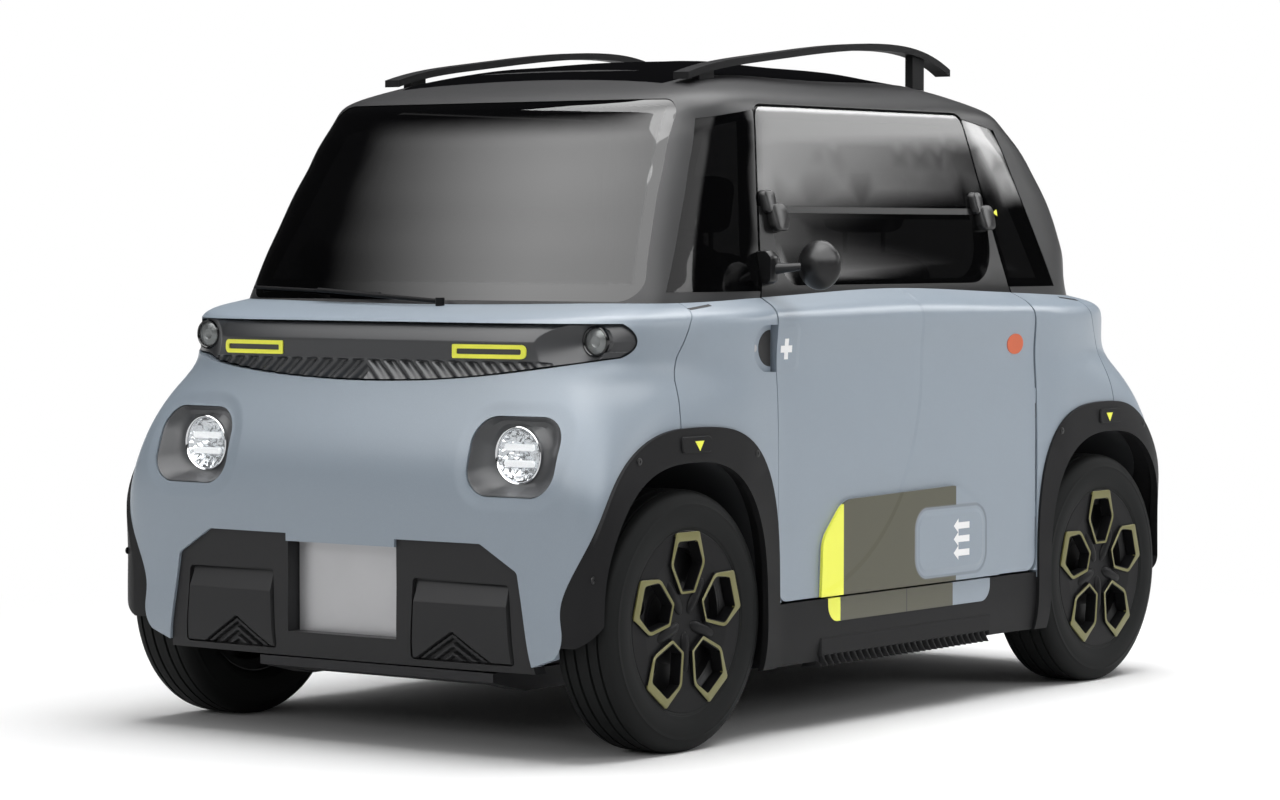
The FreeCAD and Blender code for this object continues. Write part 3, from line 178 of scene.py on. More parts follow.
def cabin_grid(count_up=260, count_round=1440):
    """The cabin's points, from below the belt up to the roof."""
    end, side, front, rear, width, square = CABIN_RINGS.T
    rings = np.stack([end * ROOF, side * ROOF, front * CABIN_HALF_LENGTH,
                      rear * CABIN_HALF_LENGTH, width * CABIN_HALF_WIDTH, square], -1)
    return ring_grid(rings, CABIN_CROWN, count_up, count_round) * MM


# %% Faces, normals and rays
def grid_faces(rows, columns, close_rows=False, close_columns=False):
    """Quads of a grid of points, which may close on itself either way."""
    i, j = np.meshgrid(np.arange(rows if close_rows else rows - 1),
                       np.arange(columns if close_columns else columns - 1), indexing="ij")
    i2, j2 = (i + 1) % rows, (j + 1) % columns
    return np.stack([i * columns + j, i2 * columns + j, i2 * columns + j2,
                     i * columns + j2], -1).reshape(-1, 4)


def grid_normals(grid):
    """Outward unit normals of a closed grid from central differences."""
    up = np.gradient(grid, axis=0)
    around = (np.roll(grid, -1, 1) - np.roll(grid, 1, 1)) / 2
    normal = np.cross(up, around)
    return normal / np.maximum(np.linalg.norm(normal, axis=-1, keepdims=True), 1e-12)


class Faces:
    """The faces of a mesh in metres, which rays in mm can meet."""

    def __init__(self, points, faces):
        self.tree = BVHTree.FromPolygons(np.asarray(points, float).tolist(),
                                         [tuple(map(int, face)) for face in faces])

    def hit(self, origins, direction, lift=0.0):
        """Points where rays meet the faces, or else their origins. A skin's points may be
        lifted along its normal."""
        found = []
        for origin in np.asarray(origins, float).reshape(-1, 3) * MM:
            point, _, face, _ = self.tree.ray_cast(Vector(origin), Vector(direction))
            point = np.array(origin if point is None else point)
            if lift:
                point += lift * MM * self.normal_at(point, face)
            found.append(point / MM)
        return np.array(found).reshape(np.shape(origins))


class Skin(Faces):
    """A fine surface that gives its exact normal near a point."""

    def __init__(self, grid):
        self.points = grid.reshape(-1, 3)
        self.normals = grid_normals(grid).reshape(-1, 3)
        self.quads = grid_faces(*grid.shape[:2], close_columns=True)
        super().__init__(self.points, self.quads)

    def normal_at(self, point, face):
        """The mean of the face's corner normals, each weighed by 1 / its distance."""
        corners = self.quads[face]
        weight = 1 / (np.linalg.norm(self.points[corners] - point, axis=1) + 1e-6)
        normal = (self.normals[corners] * weight[:, None]).sum(0)
        return normal / np.linalg.norm(normal)


body_skin = Skin(body_grid())
cabin_skin = Skin(cabin_grid())
print("skins", len(body_skin.points), len(cabin_skin.points))


# %% Exact normals for a node's faces
def take_normals(node, skin, reach=9 * MM, agree=0.72):
    """Corners of a node's faces that lie along the skin take the skin's exact normals."""
    mesh = nodes[node].data
    corner_vertex = np.empty(len(mesh.loops), np.int32)
    mesh.loops.foreach_get("vertex_index", corner_vertex)
    places = np.empty(len(mesh.vertices) * 3)
    mesh.vertices.foreach_get("co", places)
    places = places.reshape(-1, 3)
    exact = np.zeros_like(places)
    near = np.zeros(len(places), bool)
    for index, place in enumerate(places):
        point, _, face, distance = skin.tree.find_nearest(place, reach)
        if point is not None:
            exact[index] = skin.normal_at(np.array(point), face)
            near[index] = True
    normals = np.array([tuple(n.vector) for n in mesh.corner_normals])
    totals = np.empty(len(mesh.polygons), np.int32)
    mesh.polygons.foreach_get("loop_total", totals)
    flat = np.empty(len(mesh.polygons) * 3)
    mesh.polygons.foreach_get("normal", flat)
    flat = flat.reshape(-1, 3)[np.repeat(np.arange(len(totals)), totals)]
    wanted = exact[corner_vertex]
    along = (flat * wanted).sum(1)
    use = near[corner_vertex] & (np.abs(along) > agree)
    normals[use] = wanted[use] * np.sign(along[use])[:, None]
    mesh.normals_split_custom_set(normals.tolist())
    return int(use.sum())


# %% [markdown]
# ## Finishes
# The car wears satin paint, moulded plastic, rubber, cloth and tinted glass, and each shows a
# fine grain or mottle from near by. Pictures could carry it, but they blur and need unwrapping.
# Nodes on Object coordinates stay sharp, so every finish is built from them. What several
# finishes share is a node group.

# %% Colours, and a helper for nodes
def srgb(red, green, blue):
    """Linear colour of an 8-bit screen colour."""
    return tuple((c / 255 / 12.92) if c / 255 <= 0.04045 else ((c / 255 + 0.055) / 1.055) ** 2.4
                 for c in (red, green, blue)) + (1.0,)


def shade(colour, factor):
    """The same colour, darker or lighter by a factor."""
    return tuple(min(c * factor, 1) for c in colour[:3]) + (1.0,)


class Tree:
    """Adds nodes to a material or a node group, and links them."""

    def __init__(self, tree):
        self.tree = tree
        self.shader = tree.nodes.get("Principled BSDF")

    def put(self, node, inputs):
        """Gives a node's inputs their values, or links them to the outputs given."""
        for key, value in dict(inputs).items():
            if isinstance(value, bpy.types.NodeSocket):
                self.tree.links.new(value, node.inputs[key])
            else:
                node.inputs[key].default_value = value

    def node(self, kind, inputs=(), **settings):
        """A new node, with its settings and its inputs."""
        made = self.tree.nodes.new(kind)
        for name, value in settings.items():
            setattr(made, name, value)
        self.put(made, inputs)
        return made

    def math(self, operation, a, b=0.0, c=0.0):
        """What the operation makes of its values."""
        return self.node("ShaderNodeMath", {0: a, 1: b, 2: c}, operation=operation).outputs[0]

    def ramp(self, value, low, high, start=0.0, stop=1.0, **settings):
        """Goes from start to stop while the value goes from low to high, and no further."""
        return self.node("ShaderNodeMapRange", {0: value, 1: low, 2: high, 3: start, 4: stop},
                         clamp=True, **settings).outputs[0]

    def fade(self, value, low, high):
        """Rises smoothly from 0 at low to 1 at high, which may be the lesser."""
        return self.ramp(value, low, high, interpolation_type="SMOOTHSTEP")

    def between(self, value, low, high, soft=0.0005):
        """1 where low < value < high, with a soft edge, else 0."""
        return self.math("MULTIPLY", self.ramp(value, low - soft, low + soft),
                         self.ramp(value, high + soft, high - soft))

    def mix(self, factor, a, b):
        """The colour a (1 - factor) + b factor."""
        return self.node("ShaderNodeMix", {0: factor, 6: a, 7: b}, data_type="RGBA").outputs[2]

    def bump(self, height, distance, strength):
        """The surface's normal, bent by a height."""
        return self.node("ShaderNodeBump", {"Height": height, "Distance": distance,
                                            "Strength": strength}).outputs[0]

    def where(self):
        """The point in the car's frame."""
        return self.node("ShaderNodeTexCoord").outputs["Object"]

    def place(self):
        """The point's X, Y and Z."""
        return self.node("ShaderNodeSeparateXYZ", {0: self.where()}).outputs

    def rounded_box(self, a, b, centre, half, radius):
        """Signed distance to a rounded rectangle: |max(q, 0)| + min(max(q), 0) - r,
        where q = |p - centre| - half + r."""
        first = self.math("ADD", self.math("ABSOLUTE", self.math("SUBTRACT", a, centre[0])),
                          radius - half[0])
        second = self.math("ADD", self.math("ABSOLUTE", self.math("SUBTRACT", b, centre[1])),
                           radius - half[1])
        outside = self.math("SQRT", self.math(
            "ADD", self.math("POWER", self.math("MAXIMUM", first, 0.0), 2.0),
            self.math("POWER", self.math("MAXIMUM", second, 0.0), 2.0)))
        inside = self.math("MINIMUM", self.math("MAXIMUM", first, second), 0.0)
        return self.math("SUBTRACT", self.math("ADD", outside, inside), radius)


# %% The shared grain and mottle
def grain_group():
    """A shared group: the fine leathery grain of moulded plastic, and a faint mottle."""
    group = bpy.data.node_groups.new("moulded grain", "ShaderNodeTree")
    for name, value in (("Scale", 900.0), ("Depth", 0.2)):
        group.interface.new_socket(name, in_out="INPUT",
                                   socket_type="NodeSocketFloat").default_value = value
    group.interface.new_socket("Normal", in_out="OUTPUT", socket_type="NodeSocketVector")
    group.interface.new_socket("Mottle", in_out="OUTPUT", socket_type="NodeSocketFloat")
    tree = Tree(group)
    source = tree.node("NodeGroupInput").outputs
    where = tree.where()
    cells = tree.node("ShaderNodeTexVoronoi", {"Vector": where, "Scale": source["Scale"]})
    broad = tree.node("ShaderNodeTexNoise", {"Vector": where, "Scale": 9.0, "Detail": 3.0})
    bump = tree.bump(cells.outputs["Distance"], 0.0003, source["Depth"])
    tree.node("NodeGroupOutput", {"Normal": bump, "Mottle": broad.outputs[0]})
    return group


GRAIN = grain_group()
print("node group:", GRAIN.name)


# %% A plain finish
def new_material(name):
    """A new material and its node tree."""
    material = bpy.data.materials.new(name)
    material.use_nodes = True
    return material, Tree(material.node_tree)


def finish(name, colour, roughness, metallic=0.0, coat=0.0, coat_roughness=0.05, specular=0.5,
           grain=None, mottle=0.06, emission=0.0):
    """A finish with a faint mottle in its colour and, where asked, a moulded grain."""
    material, tree = new_material(name)
    scale, depth = grain or (900.0, 0.0)
    effect = tree.node("ShaderNodeGroup", {"Scale": scale, "Depth": depth},
                       node_tree=GRAIN).outputs
    blend = tree.mix(effect["Mottle"], shade(colour, 1 - mottle), shade(colour, 1 + mottle))
    tree.put(tree.shader, {"Roughness": roughness, "Metallic": metallic, "Coat Weight": coat,
                           "Coat Roughness": coat_roughness, "Specular IOR Level": specular,
                           "Base Color": blend})
    if grain:
        tree.put(tree.shader, {"Normal": effect["Normal"]})
    if emission:
        tree.put(tree.shader, {"Emission Color": colour, "Emission Strength": emission})
    return material


# %% [markdown]
# ## Paint
# The panels are satin grey, with olive and yellow fields on the doors. The fields could be thin
# plates, but those would show their edges. Masks in the paint's own nodes keep them flush, as
# a printed film is.

# %% Paint and its patterns
PAINT_COLOUR = srgb(139, 150, 161)
OLIVE_COLOUR = srgb(68, 66, 46)
YELLOW_COLOUR = srgb(250, 253, 84)


def paint_finish(name, pattern=None):
    """Satin paint: a fine flake mottle under a soft clear coat, with a pattern laid over it."""
    material = finish(name, PAINT_COLOUR, 0.42, coat=0.30, coat_roughness=0.22, mottle=0.02)
    tree = Tree(material.node_tree)
    base = tree.shader.inputs["Base Color"].links[0].from_socket
    flake = tree.node("ShaderNodeTexNoise", {"Vector": tree.where(), "Scale": 1400.0,
                                             "Detail": 1.0})
    bright = shade(PAINT_COLOUR, 1.10)
    base = tree.mix(tree.between(flake.outputs[0], 0.60, 1.0, 0.05), base, bright)
    if pattern:
        base, normal = pattern(tree, base)
        if normal is not None:
            tree.put(tree.shader, {"Normal": normal})
    tree.put(tree.shader, {"Base Color": base})
    return material


print("paint", [round(c, 3) for c in PAINT_COLOUR[:3]])

# Rounded boxes by their centre, half sizes and corner radius, as seen from the side or front.
HATCH = ((0.1555, 0.386), (0.154, 0.081), 0.050)
FLAP = ((-0.505, 0.844), (0.052, 0.052), 0.022)
POD = ((0.4465, 0.6285), (0.1115, 0.0835), 0.058)
PAD_FACE, PAD_HEIGHTS, PAD_START = 0.6762, (0.20, 0.516), -0.40
YELLOW_END, OLIVE_END, SEAM = -0.2915, 0.1765, (-0.0215, -0.0185)
SEAM_COLOUR = (0.004, 0.004, 0.004, 1.0)


def door_pattern(tree, base):
    """The yellow and olive fields of the door's lower pad, and painted shade in its hatch's groove.
    """
    x, y, z = tree.place()
    side = tree.math("SIGN", x)
    along = tree.math("MULTIPLY", y, side)
    pad = tree.math("MULTIPLY", tree.math("GREATER_THAN", tree.math("ABSOLUTE", x), PAD_FACE),
                    tree.math("MULTIPLY", tree.between(z, *PAD_HEIGHTS),
                              tree.between(along, PAD_START, OLIVE_END)))
    hatch = tree.rounded_box(along, z, *HATCH)
    outside = tree.math("GREATER_THAN", hatch, 0.0)
    pad = tree.math("MULTIPLY", pad, outside)
    coloured = tree.mix(pad, base, OLIVE_COLOUR)
    stripe = tree.math("MULTIPLY", pad, tree.math("LESS_THAN", along, YELLOW_END))
    coloured = tree.mix(stripe, coloured, YELLOW_COLOUR)
    # The hatch's groove is painted shade: a band of darker paint round the hatch.
    groove_shade = tree.between(hatch, -0.0055, 0.0015, 0.0015)
    coloured = tree.mix(tree.math("MULTIPLY", groove_shade, 0.55), coloured, shade(PAINT_COLOUR, 0.45))
    rim = tree.math("MULTIPLY", tree.between(hatch, -0.016, -0.001, 0.004), -1.0)
    flap = tree.rounded_box(along, z, *FLAP)
    edge = tree.between(flap, -0.001, 0.5, 0.006)
    height = tree.math("ADD", tree.math("MULTIPLY", rim, 0.7), tree.math("MULTIPLY", edge, -0.5))
    return coloured, tree.bump(height, 0.005, 0.6)


def sill_pattern(tree, base):
    """The fields of the door's pad go on over the sill's insert."""
    x, y, _ = tree.place()
    along = tree.math("MULTIPLY", y, tree.math("SIGN", x))
    coloured = tree.mix(tree.math("LESS_THAN", along, OLIVE_END), base, OLIVE_COLOUR)
    coloured = tree.mix(tree.math("LESS_THAN", along, YELLOW_END), coloured, YELLOW_COLOUR)
    return tree.mix(tree.between(along, *SEAM, 0.0004), coloured, SEAM_COLOUR), None


def front_pattern(tree, base):
    """The soft step that runs round each headlamp's pod."""
    x, _, z = tree.place()
    pod = tree.rounded_box(tree.math("ABSOLUTE", x), z, *POD)
    return base, tree.bump(tree.fade(pod, 0.002, 0.034), 0.005, 0.7)


# %% [markdown]
# ## Glass and reflectors
# Tinted panes are seen partly through, and mirror the studio sharply. True refraction would need
# thick closed panes and more bounces of light. A glossy face with a part-clear alpha looks the
# same on a thin pane, and the windscreen's printed border is a mask in it.

# %% Glass, reflectors and the windscreen's border
GLASS_ROUGHNESS, FRAME_ROUGHNESS, FRAME_COLOUR = 0.015, 0.42, srgb(44, 44, 45)


def glass(name, tint, opacity, border=None):
    """Tinted glass: a glossy face over a part-clear body with a faint mottle, and where asked
    a black printed border and matte frames."""
    material, tree = new_material(name)
    mottle = tree.node("ShaderNodeGroup", node_tree=GRAIN).outputs["Mottle"]
    plain = tree.mix(mottle, shade(tint, 0.8), tint)
    tree.put(tree.shader, {"Roughness": GLASS_ROUGHNESS, "Alpha": opacity, "Base Color": plain})
    if border:
        clear, frame = border(tree)
        tree.put(tree.shader, {
            "Alpha": tree.ramp(clear, 0.0, 1.0, 1.0, opacity),
            "Roughness": tree.ramp(frame, 0.0, 1.0, GLASS_ROUGHNESS, FRAME_ROUGHNESS),
            "Base Color": tree.mix(frame, plain, FRAME_COLOUR)})
    return material


def faceted(name, colour):
    """A bright reflector cut into facets, by a bump of flat cells."""
    material = finish(name, colour, 0.12, metallic=0.85)
    tree = Tree(material.node_tree)
    cells = tree.node("ShaderNodeTexVoronoi", {"Vector": tree.where(), "Scale": 75.0},
                      distance="CHEBYCHEV")
    tree.put(tree.shader, {"Normal": tree.bump(cells.outputs["Distance"], 0.006, 0.9)})
    return material


# The windscreen's half width from its foot to its head, and its clear field.
SCREEN_FOOT, SCREEN_HEAD, SCREEN_HALVES = 0.946, 1.384, (0.557, 0.478)
CLEAR_HEIGHTS, CLEAR_INSET, FRAME_INSET = (0.985, 1.368), (0.020, 0.026), 0.003
print("the windscreen narrows by", round(SCREEN_HALVES[0] - SCREEN_HALVES[1], 3), "each side")


def screen_border(tree):
    """Two masks of the windscreen: 1 inside its clear field, else 0 on its printed border,
    and 1 on the matte frames that close its sides."""
    x, _, z = tree.place()
    half = tree.ramp(z, SCREEN_FOOT, SCREEN_HEAD, *SCREEN_HALVES)
    inside = tree.math("SUBTRACT", half, tree.math("ABSOLUTE", x))
    clear = tree.math("MULTIPLY", tree.ramp(inside, *CLEAR_INSET),
                      tree.between(z, *CLEAR_HEIGHTS, 0.003))
    return clear, tree.ramp(inside, FRAME_INSET, 0.0)


# %% All finishes
paint = paint_finish("body paint")
front_paint = paint_finish("front paint", front_pattern)
door_paint = paint_finish("door paint", door_pattern)
sill_paint = paint_finish("sill paint", sill_pattern)
cladding = finish("cladding", srgb(27, 27, 28), 0.48, grain=(1100.0, 0.25), specular=0.12)
insert_plastic = finish("insert plastic", srgb(38, 38, 39), 0.46, grain=(1100.0, 0.2), specular=0.2)
moulding = finish("dark moulding", srgb(21, 21, 22), 0.42, grain=(1300.0, 0.15), specular=0.10)
bar_plastic = finish("light bar plastic", srgb(48, 49, 51), 0.36)
pod_grey = finish("pod grey", srgb(66, 67, 69), 0.40, grain=(1100.0, 0.12))
roof_black = finish("roof black", srgb(42, 42, 43), 0.40, grain=(1500.0, 0.10), specular=0.35)
gloss_black = finish("gloss black", srgb(14, 14, 15), 0.10)
roof_panel = finish("roof panel", srgb(9, 9, 10), 0.9, specular=0.0)
# Near black for the fender slots and the handle's recess: painted shade for their openings.
painted_shade_black = finish("painted shade black", srgb(6, 6, 7), 0.6)
rubber = finish("rubber", srgb(24, 25, 25), 0.60, grain=(700.0, 0.20), mottle=0.10, specular=0.10)
steel_black = finish("black steel", srgb(22, 22, 23), 0.45)
silver = finish("plate silver", srgb(178, 178, 180), 0.38, metallic=0.55)
dark_metal = finish("dark metal", srgb(52, 52, 54), 0.5, metallic=0.4, mottle=0.15)
cabin_trim = finish("cabin trim", srgb(34, 35, 37), 0.7, grain=(700.0, 0.3))
fabric = finish("seat fabric", srgb(62, 64, 68), 0.9, grain=(450.0, 0.6), mottle=0.12)
gold = finish("olive gold", srgb(116, 113, 68), 0.36, metallic=0.2)
orange = finish("orange", srgb(205, 92, 46), 0.4, coat=0.15)
satin_black = finish("satin black", srgb(20, 20, 21), 0.32, specular=0.35)
frame_black = finish("window frame black", srgb(11, 11, 12), 0.28, specular=0.4)
yellow = finish("yellow", YELLOW_COLOUR, 0.4)
white = finish("white", srgb(244, 244, 244), 0.4)
chrome = finish("chrome", srgb(205, 206, 208), 0.10, metallic=1.0)
lamp_white = faceted("lamp reflector", srgb(206, 210, 213))
lamp_glow = finish("lamp glow", srgb(246, 248, 250), 0.25, emission=0.35)
lamp_grey = finish("lamp grey", srgb(112, 115, 114), 0.22, metallic=0.5)
red_reflector = finish("red reflector", srgb(150, 14, 12), 0.2, metallic=0.3)
tinted = glass("tinted glass", srgb(5, 5, 6), 0.76)
screen = glass("windscreen glass", srgb(5, 5, 6), 0.88, border=screen_border)
clear = glass("clear lens", srgb(235, 238, 240), 0.14)
red_lens = glass("red lens", srgb(150, 12, 10), 0.55)
mirror_face = finish("mirror face", srgb(200, 204, 208), 0.03, metallic=1.0)
print("finishes", len(bpy.data.materials))

# %% Which node wears which finish
WORN = {
    "front_panel rear_panel": front_paint, "fenders": paint, "sill_inserts": sill_paint,
    "door_panel_left door_panel_right": door_paint, "light_bars": gloss_black,
    "lamp_pods arch_trims sills roof_bars": cladding, "front_lamps": clear,
    "rear_lamps": red_lens, "bumper_inserts": insert_plastic, "number_plates": silver,
    "cabin_frame": roof_black, "windscreen": screen, "roof_glass": roof_panel,
    "rear_window quarter_windows door_glass_left door_glass_right": tinted,
    "door_frame_left door_frame_right": frame_black, "seats": fabric,
    "wheel_liners cabin_tub seat_bases steering_column dashboard steering_wheel": cabin_trim,
    "door_hinges chassis_frame battery_box drive_motor front_arms rear_axle": dark_metal,
    "knuckle_left knuckle_right": dark_metal, "wiper mirror_left mirror_right": moulding}
for corner in CORNERS:
    WORN["tyre_" + corner] = rubber
    WORN["wheel_" + corner] = steel_black
    WORN["cover_" + corner] = moulding
for names, material in WORN.items():
    for name in names.split():
        nodes[name].data.materials.clear()
        nodes[name].data.materials.append(material)
bare = [name for name, obj in nodes.items() if not any(obj.data.materials)]
print("nodes without a finish:", len(bare))
print("finishes set")

# %% Exact normals for the panels and the cabin
for name in ("front_panel", "rear_panel", "fenders", "door_panel_left", "door_panel_right",
             "arch_trims", "sills", "sill_inserts"):
    print(name, take_normals(name, body_skin))
for name in ("cabin_frame", "windscreen", "rear_window", "roof_glass", "quarter_windows",
             "door_frame_left", "door_frame_right", "door_glass_left", "door_glass_right"):
    print(name, take_normals(name, cabin_skin))

# %% [markdown]
# ## Tools for new pieces
# Pieces could be drawn with Blender's own shapes and modifiers. Here each is an array of points
# in millimetres, worked out from a profile or a grid, because its numbers are then those of
# the CAD source. Each piece stays at the origin and rides on a body.

# %% Rays, and a new piece
FAR = 1500.0
INWARD = (-1, 0, 0)
REARWARD = (0, 1, 0)


def node_faces(node):
    """The faces of a CAD node."""
    mesh = nodes[node].data
    return Faces([v.co for v in mesh.vertices], [p.vertices for p in mesh.polygons])


def from_side(outline):
    """Origins left of the car, for (y, z) places seen from its left side."""
    outline = np.asarray(outline, float)
    return np.insert(outline, 0, FAR, axis=-1)


def from_front(outline):
    """Origins before the car, for (x, z) places seen from its front."""
    outline = np.asarray(outline, float)
    return np.insert(outline, 1, -FAR, axis=-1)


def piece(name, points, faces, material, body="chassis", stands_for=(), sharp=35, facing=None):
    """A new piece from points in mm. Its faces are turned outward: by its volume if it is
    closed, else towards a facing direction."""
    mesh = bpy.data.meshes.new(name)
    mesh.from_pydata((np.asarray(points, float).reshape(-1, 3) * MM).tolist(), [],
                     [tuple(int(i) for i in face) for face in faces])
    mesh.update()
    count = len(mesh.polygons)
    normal, centre, area = np.empty(count * 3), np.empty(count * 3), np.empty(count)
    for key, values in (("normal", normal), ("center", centre), ("area", area)):
        mesh.polygons.foreach_get(key, values)
    centre = centre.reshape(-1, 3)
    outward = centre - centre.mean(0) if facing is None else np.array(facing, float)
    if (normal.reshape(-1, 3) * outward).sum(1) @ area < 0:
        mesh.flip_normals()
    mesh.shade_smooth()
    mesh.set_sharp_from_angle(angle=math.radians(sharp))
    mesh.materials.append(material)
    obj = bpy.data.objects.new(name, mesh)
    bpy.context.scene.collection.objects.link(obj)
    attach(obj, body)
    if stands_for:
        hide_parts(*stands_for)
    return obj


# %% Joining, lofting and mirroring
def join(parts):
    """Several (points, faces) as one."""
    points, faces, base = [], [], 0
    for more, polygons in parts:
        points.append(np.asarray(more, float).reshape(-1, 3))
        faces += [tuple(int(i) + base for i in polygon) for polygon in polygons]
        base += len(points[-1])
    return np.concatenate(points), faces


def loft(rings):
    """(points, faces) of rings with equal counts, joined in turn and closed by flat caps."""
    count = len(rings[0])
    faces = list(grid_faces(len(rings), count, close_columns=True))
    last = (len(rings) - 1) * count
    faces += [tuple(range(count)), tuple(range(last + count - 1, last - 1, -1))]
    return np.concatenate([np.asarray(r, float) for r in rings]), faces


def turned(solid):
    """The same part at the car's other end and side, turned half round."""
    points, faces = solid
    return points * (-1, -1, 1), faces


def mirrored(solid):
    """The same part on the car's other side."""
    points, faces = solid
    return points * (-1, 1, 1), [tuple(reversed(face)) for face in faces]


# %% Outlines
def rounded(outline, radii, steps=7):
    """A polygon whose corners are arcs of the given radii, tangent to both sides: the cut
    along each side is r / tan(half angle), the centre lies r / sin(half angle) away."""
    outline = np.asarray(outline, float)
    count = len(outline)
    radii = np.broadcast_to(radii, count)
    points = []
    for i, corner in enumerate(outline):
        if radii[i] == 0:
            points.append(corner)
            continue
        before, after = outline[i - 1] - corner, outline[(i + 1) % count] - corner
        before, after = before / np.linalg.norm(before), after / np.linalg.norm(after)
        half = math.acos(np.clip(before @ after, -1, 1)) / 2
        middle = (before + after) / np.linalg.norm(before + after)
        centre = corner + middle * radii[i] / math.sin(half)
        spokes = [corner + side * radii[i] / math.tan(half) - centre for side in (before, after)]
        start, stop = (math.atan2(s[1], s[0]) for s in spokes)
        sweep = (stop - start + math.pi) % TURN - math.pi
        for t in np.linspace(0, 1, steps):
            angle = start + sweep * t
            points.append(centre + radii[i] * np.array((math.cos(angle), math.sin(angle))))
    return np.array(points)


def split(outline, parts=6):
    """The same closed outline with every side divided into equal parts."""
    outline = np.asarray(outline, float)
    share = (np.arange(parts) / parts)[None, :, None]
    after = np.roll(outline, -1, 0)
    return (outline[:, None] * (1 - share) + after[:, None] * share).reshape(-1, 2)


def swung(a, b, angle):
    """Two coordinates turned by an angle: a cos - b sin and a sin + b cos."""
    c, s = math.cos(angle), math.sin(angle)
    return a * c - b * s, a * s + b * c


def circle(centre, radius, count=48):
    """Points round a circle in a plane."""
    angle = np.linspace(0, TURN, count, endpoint=False)
    return np.array(centre) + radius * np.stack([np.cos(angle), np.sin(angle)], -1)


def rectangle(low, high):
    """The corners of a rectangle, counterclockwise."""
    return [low, (high[0], low[1]), high, (low[0], high[1])]


print("a square with round corners:", len(rounded(rectangle((0, 0), (1, 1)), 0.2)), "points")


# %% Turned shapes, plates and rings
def spun(profile, centre, axis, count=72):
    """(points, faces) of a closed profile of (place along the axis, radius) turned round an
    axis through a centre: axis 0 is X and 1 is Y."""
    angle = np.linspace(0, TURN, count, endpoint=False)[:, None]
    profile = np.asarray(profile, float)
    across, up = (i for i in range(3) if i != axis)
    rings = np.empty((count, len(profile), 3))
    rings[..., axis] = profile[:, 0]
    rings[..., across] = profile[:, 1] * np.cos(angle)
    rings[..., up] = profile[:, 1] * np.sin(angle)
    return (rings + centre).reshape(-1, 3), grid_faces(count, len(profile), True, True)


def raised(outline, surface, lift=0.5, sunk=1.5):
    """(points, faces) of a thin plate on a surface, with an outline seen from the side, that
    stands proud by a lift."""
    ground = surface.hit(from_side(outline), INWARD)
    return loft([ground - (sunk, 0, 0), ground + (lift, 0, 0)])


def ring_plate(outer, inner, surface, proud):
    """(points, faces) of a ring between two outlines seen from the front, with equal counts
    of points. It stands proud of a surface by as much as it is sunk."""
    wide, narrow = (surface.hit(from_front(line), REARWARD) for line in (outer, inner))
    out = np.array((0, -proud, 0))
    points = np.concatenate([wide - out, wide + out, narrow + out, narrow - out])
    return points, grid_faces(4, len(outer), True, True)


door_faces = node_faces("door_panel_left")
fender_faces = node_faces("fenders")


# %% Ends and sides
def same(solid):
    """The part itself."""
    return solid


def rim_mask(shape):
    """True along a grid's four edges."""
    mask = np.zeros(shape, bool)
    mask[0], mask[-1], mask[:, 0], mask[:, -1] = True, True, True, True
    return mask


DOORS = (("left", same), ("right", turned))
ENDS = (("front", same), ("rear", turned))
OUTWARD = {"front": (0, -1, 0), "rear": (0, 1, 0)}
SIDES = (("left", same), ("right", mirrored))


def on_doors(name, solid, material, sharp=35):
    """The same piece on both doors."""
    for side, move in DOORS:
        piece(name + "_" + side, *move(solid), material, "door_" + side, sharp=sharp)


# %% [markdown]
# ## Marks on the doors
# White arrows on the hatch, a white plus sign by the handle and an orange disc are thin films.
# They could be masks in the paint, but small sharp shapes take many nodes there. Thin plates
# laid on the door by rays are simpler and keep crisp edges.

# %% Arrows, plus signs and discs
ARROW = [(166, 0), (186, 16), (186, 7.5), (234, 7.5), (234, -7.5), (186, -7.5), (186, -16)]
ARROW_HEIGHTS = (418.7, 387.9, 356.0)
arrows = join([raised([(y, z + height) for y, z in ARROW], door_faces)
               for height in ARROW_HEIGHTS])
on_doors("hatch_arrows", arrows, white)

PLUS_CENTRE, PLUS_HALF, PLUS_ARM = (-500.6, 841.3), 22.5, 7.5
plus_outline = [(PLUS_ARM, -PLUS_HALF), (PLUS_ARM, -PLUS_ARM), (PLUS_HALF, -PLUS_ARM),
                (PLUS_HALF, PLUS_ARM), (PLUS_ARM, PLUS_ARM), (PLUS_ARM, PLUS_HALF),
                (-PLUS_ARM, PLUS_HALF), (-PLUS_ARM, PLUS_ARM), (-PLUS_HALF, PLUS_ARM),
                (-PLUS_HALF, -PLUS_ARM), (-PLUS_ARM, -PLUS_ARM), (-PLUS_ARM, -PLUS_HALF)]
plus = raised(np.add(plus_outline, PLUS_CENTRE), door_faces)
on_doors("plus_sign", plus, white)
DISC_CENTRE, DISC_SIZE = (456, 832.5), (35, 24)
disc = circle((0, 0), 1) * DISC_SIZE + DISC_CENTRE
on_doors("orange_disc", raised(disc, door_faces, 1.5), orange)
print("door marks made")

# %% [markdown]
# ## Light bars
# A black moulded bar crosses each end of the car, with a round lamp at either side. It could be
# put together from many solids. All its forms face one way, so one height field behind the
# body's surface holds them: a sloping top face, a flat middle, slanting ribs below and a cone
# round each lamp.

# %% The bars
BAR_TOP, BAR_FOLD, BAR_MIDDLE = 901.0, 864.0, 824.0
BAR_END, BAR_CORNER, BAR_CORNER_HEIGHTS = 610.0, 590.0, (833.0, 901.0)
BAR_BOTTOM = ((-590, 833), (-296, 791), (0, 778), (296, 791), (590, 833))
LAMP_X, LAMP_Y, LAMP_Z, LAMP_RADIUS = 545.0, -1019.0, 866.0, 32.0
CONE_SLOPE = 0.95
RIB_PITCH, RIB_LEAN, RIB_TOP, RIB_DEPTH = 44.0, 1.1, 6, 10
BAR_SUNK, BAR_SLOPE, BAR_BACK = 4, 9, 30
SLANT_START, SLANT_LENGTH, SLANT_DROP, END_DEEPER = 440, 40, 20, 6


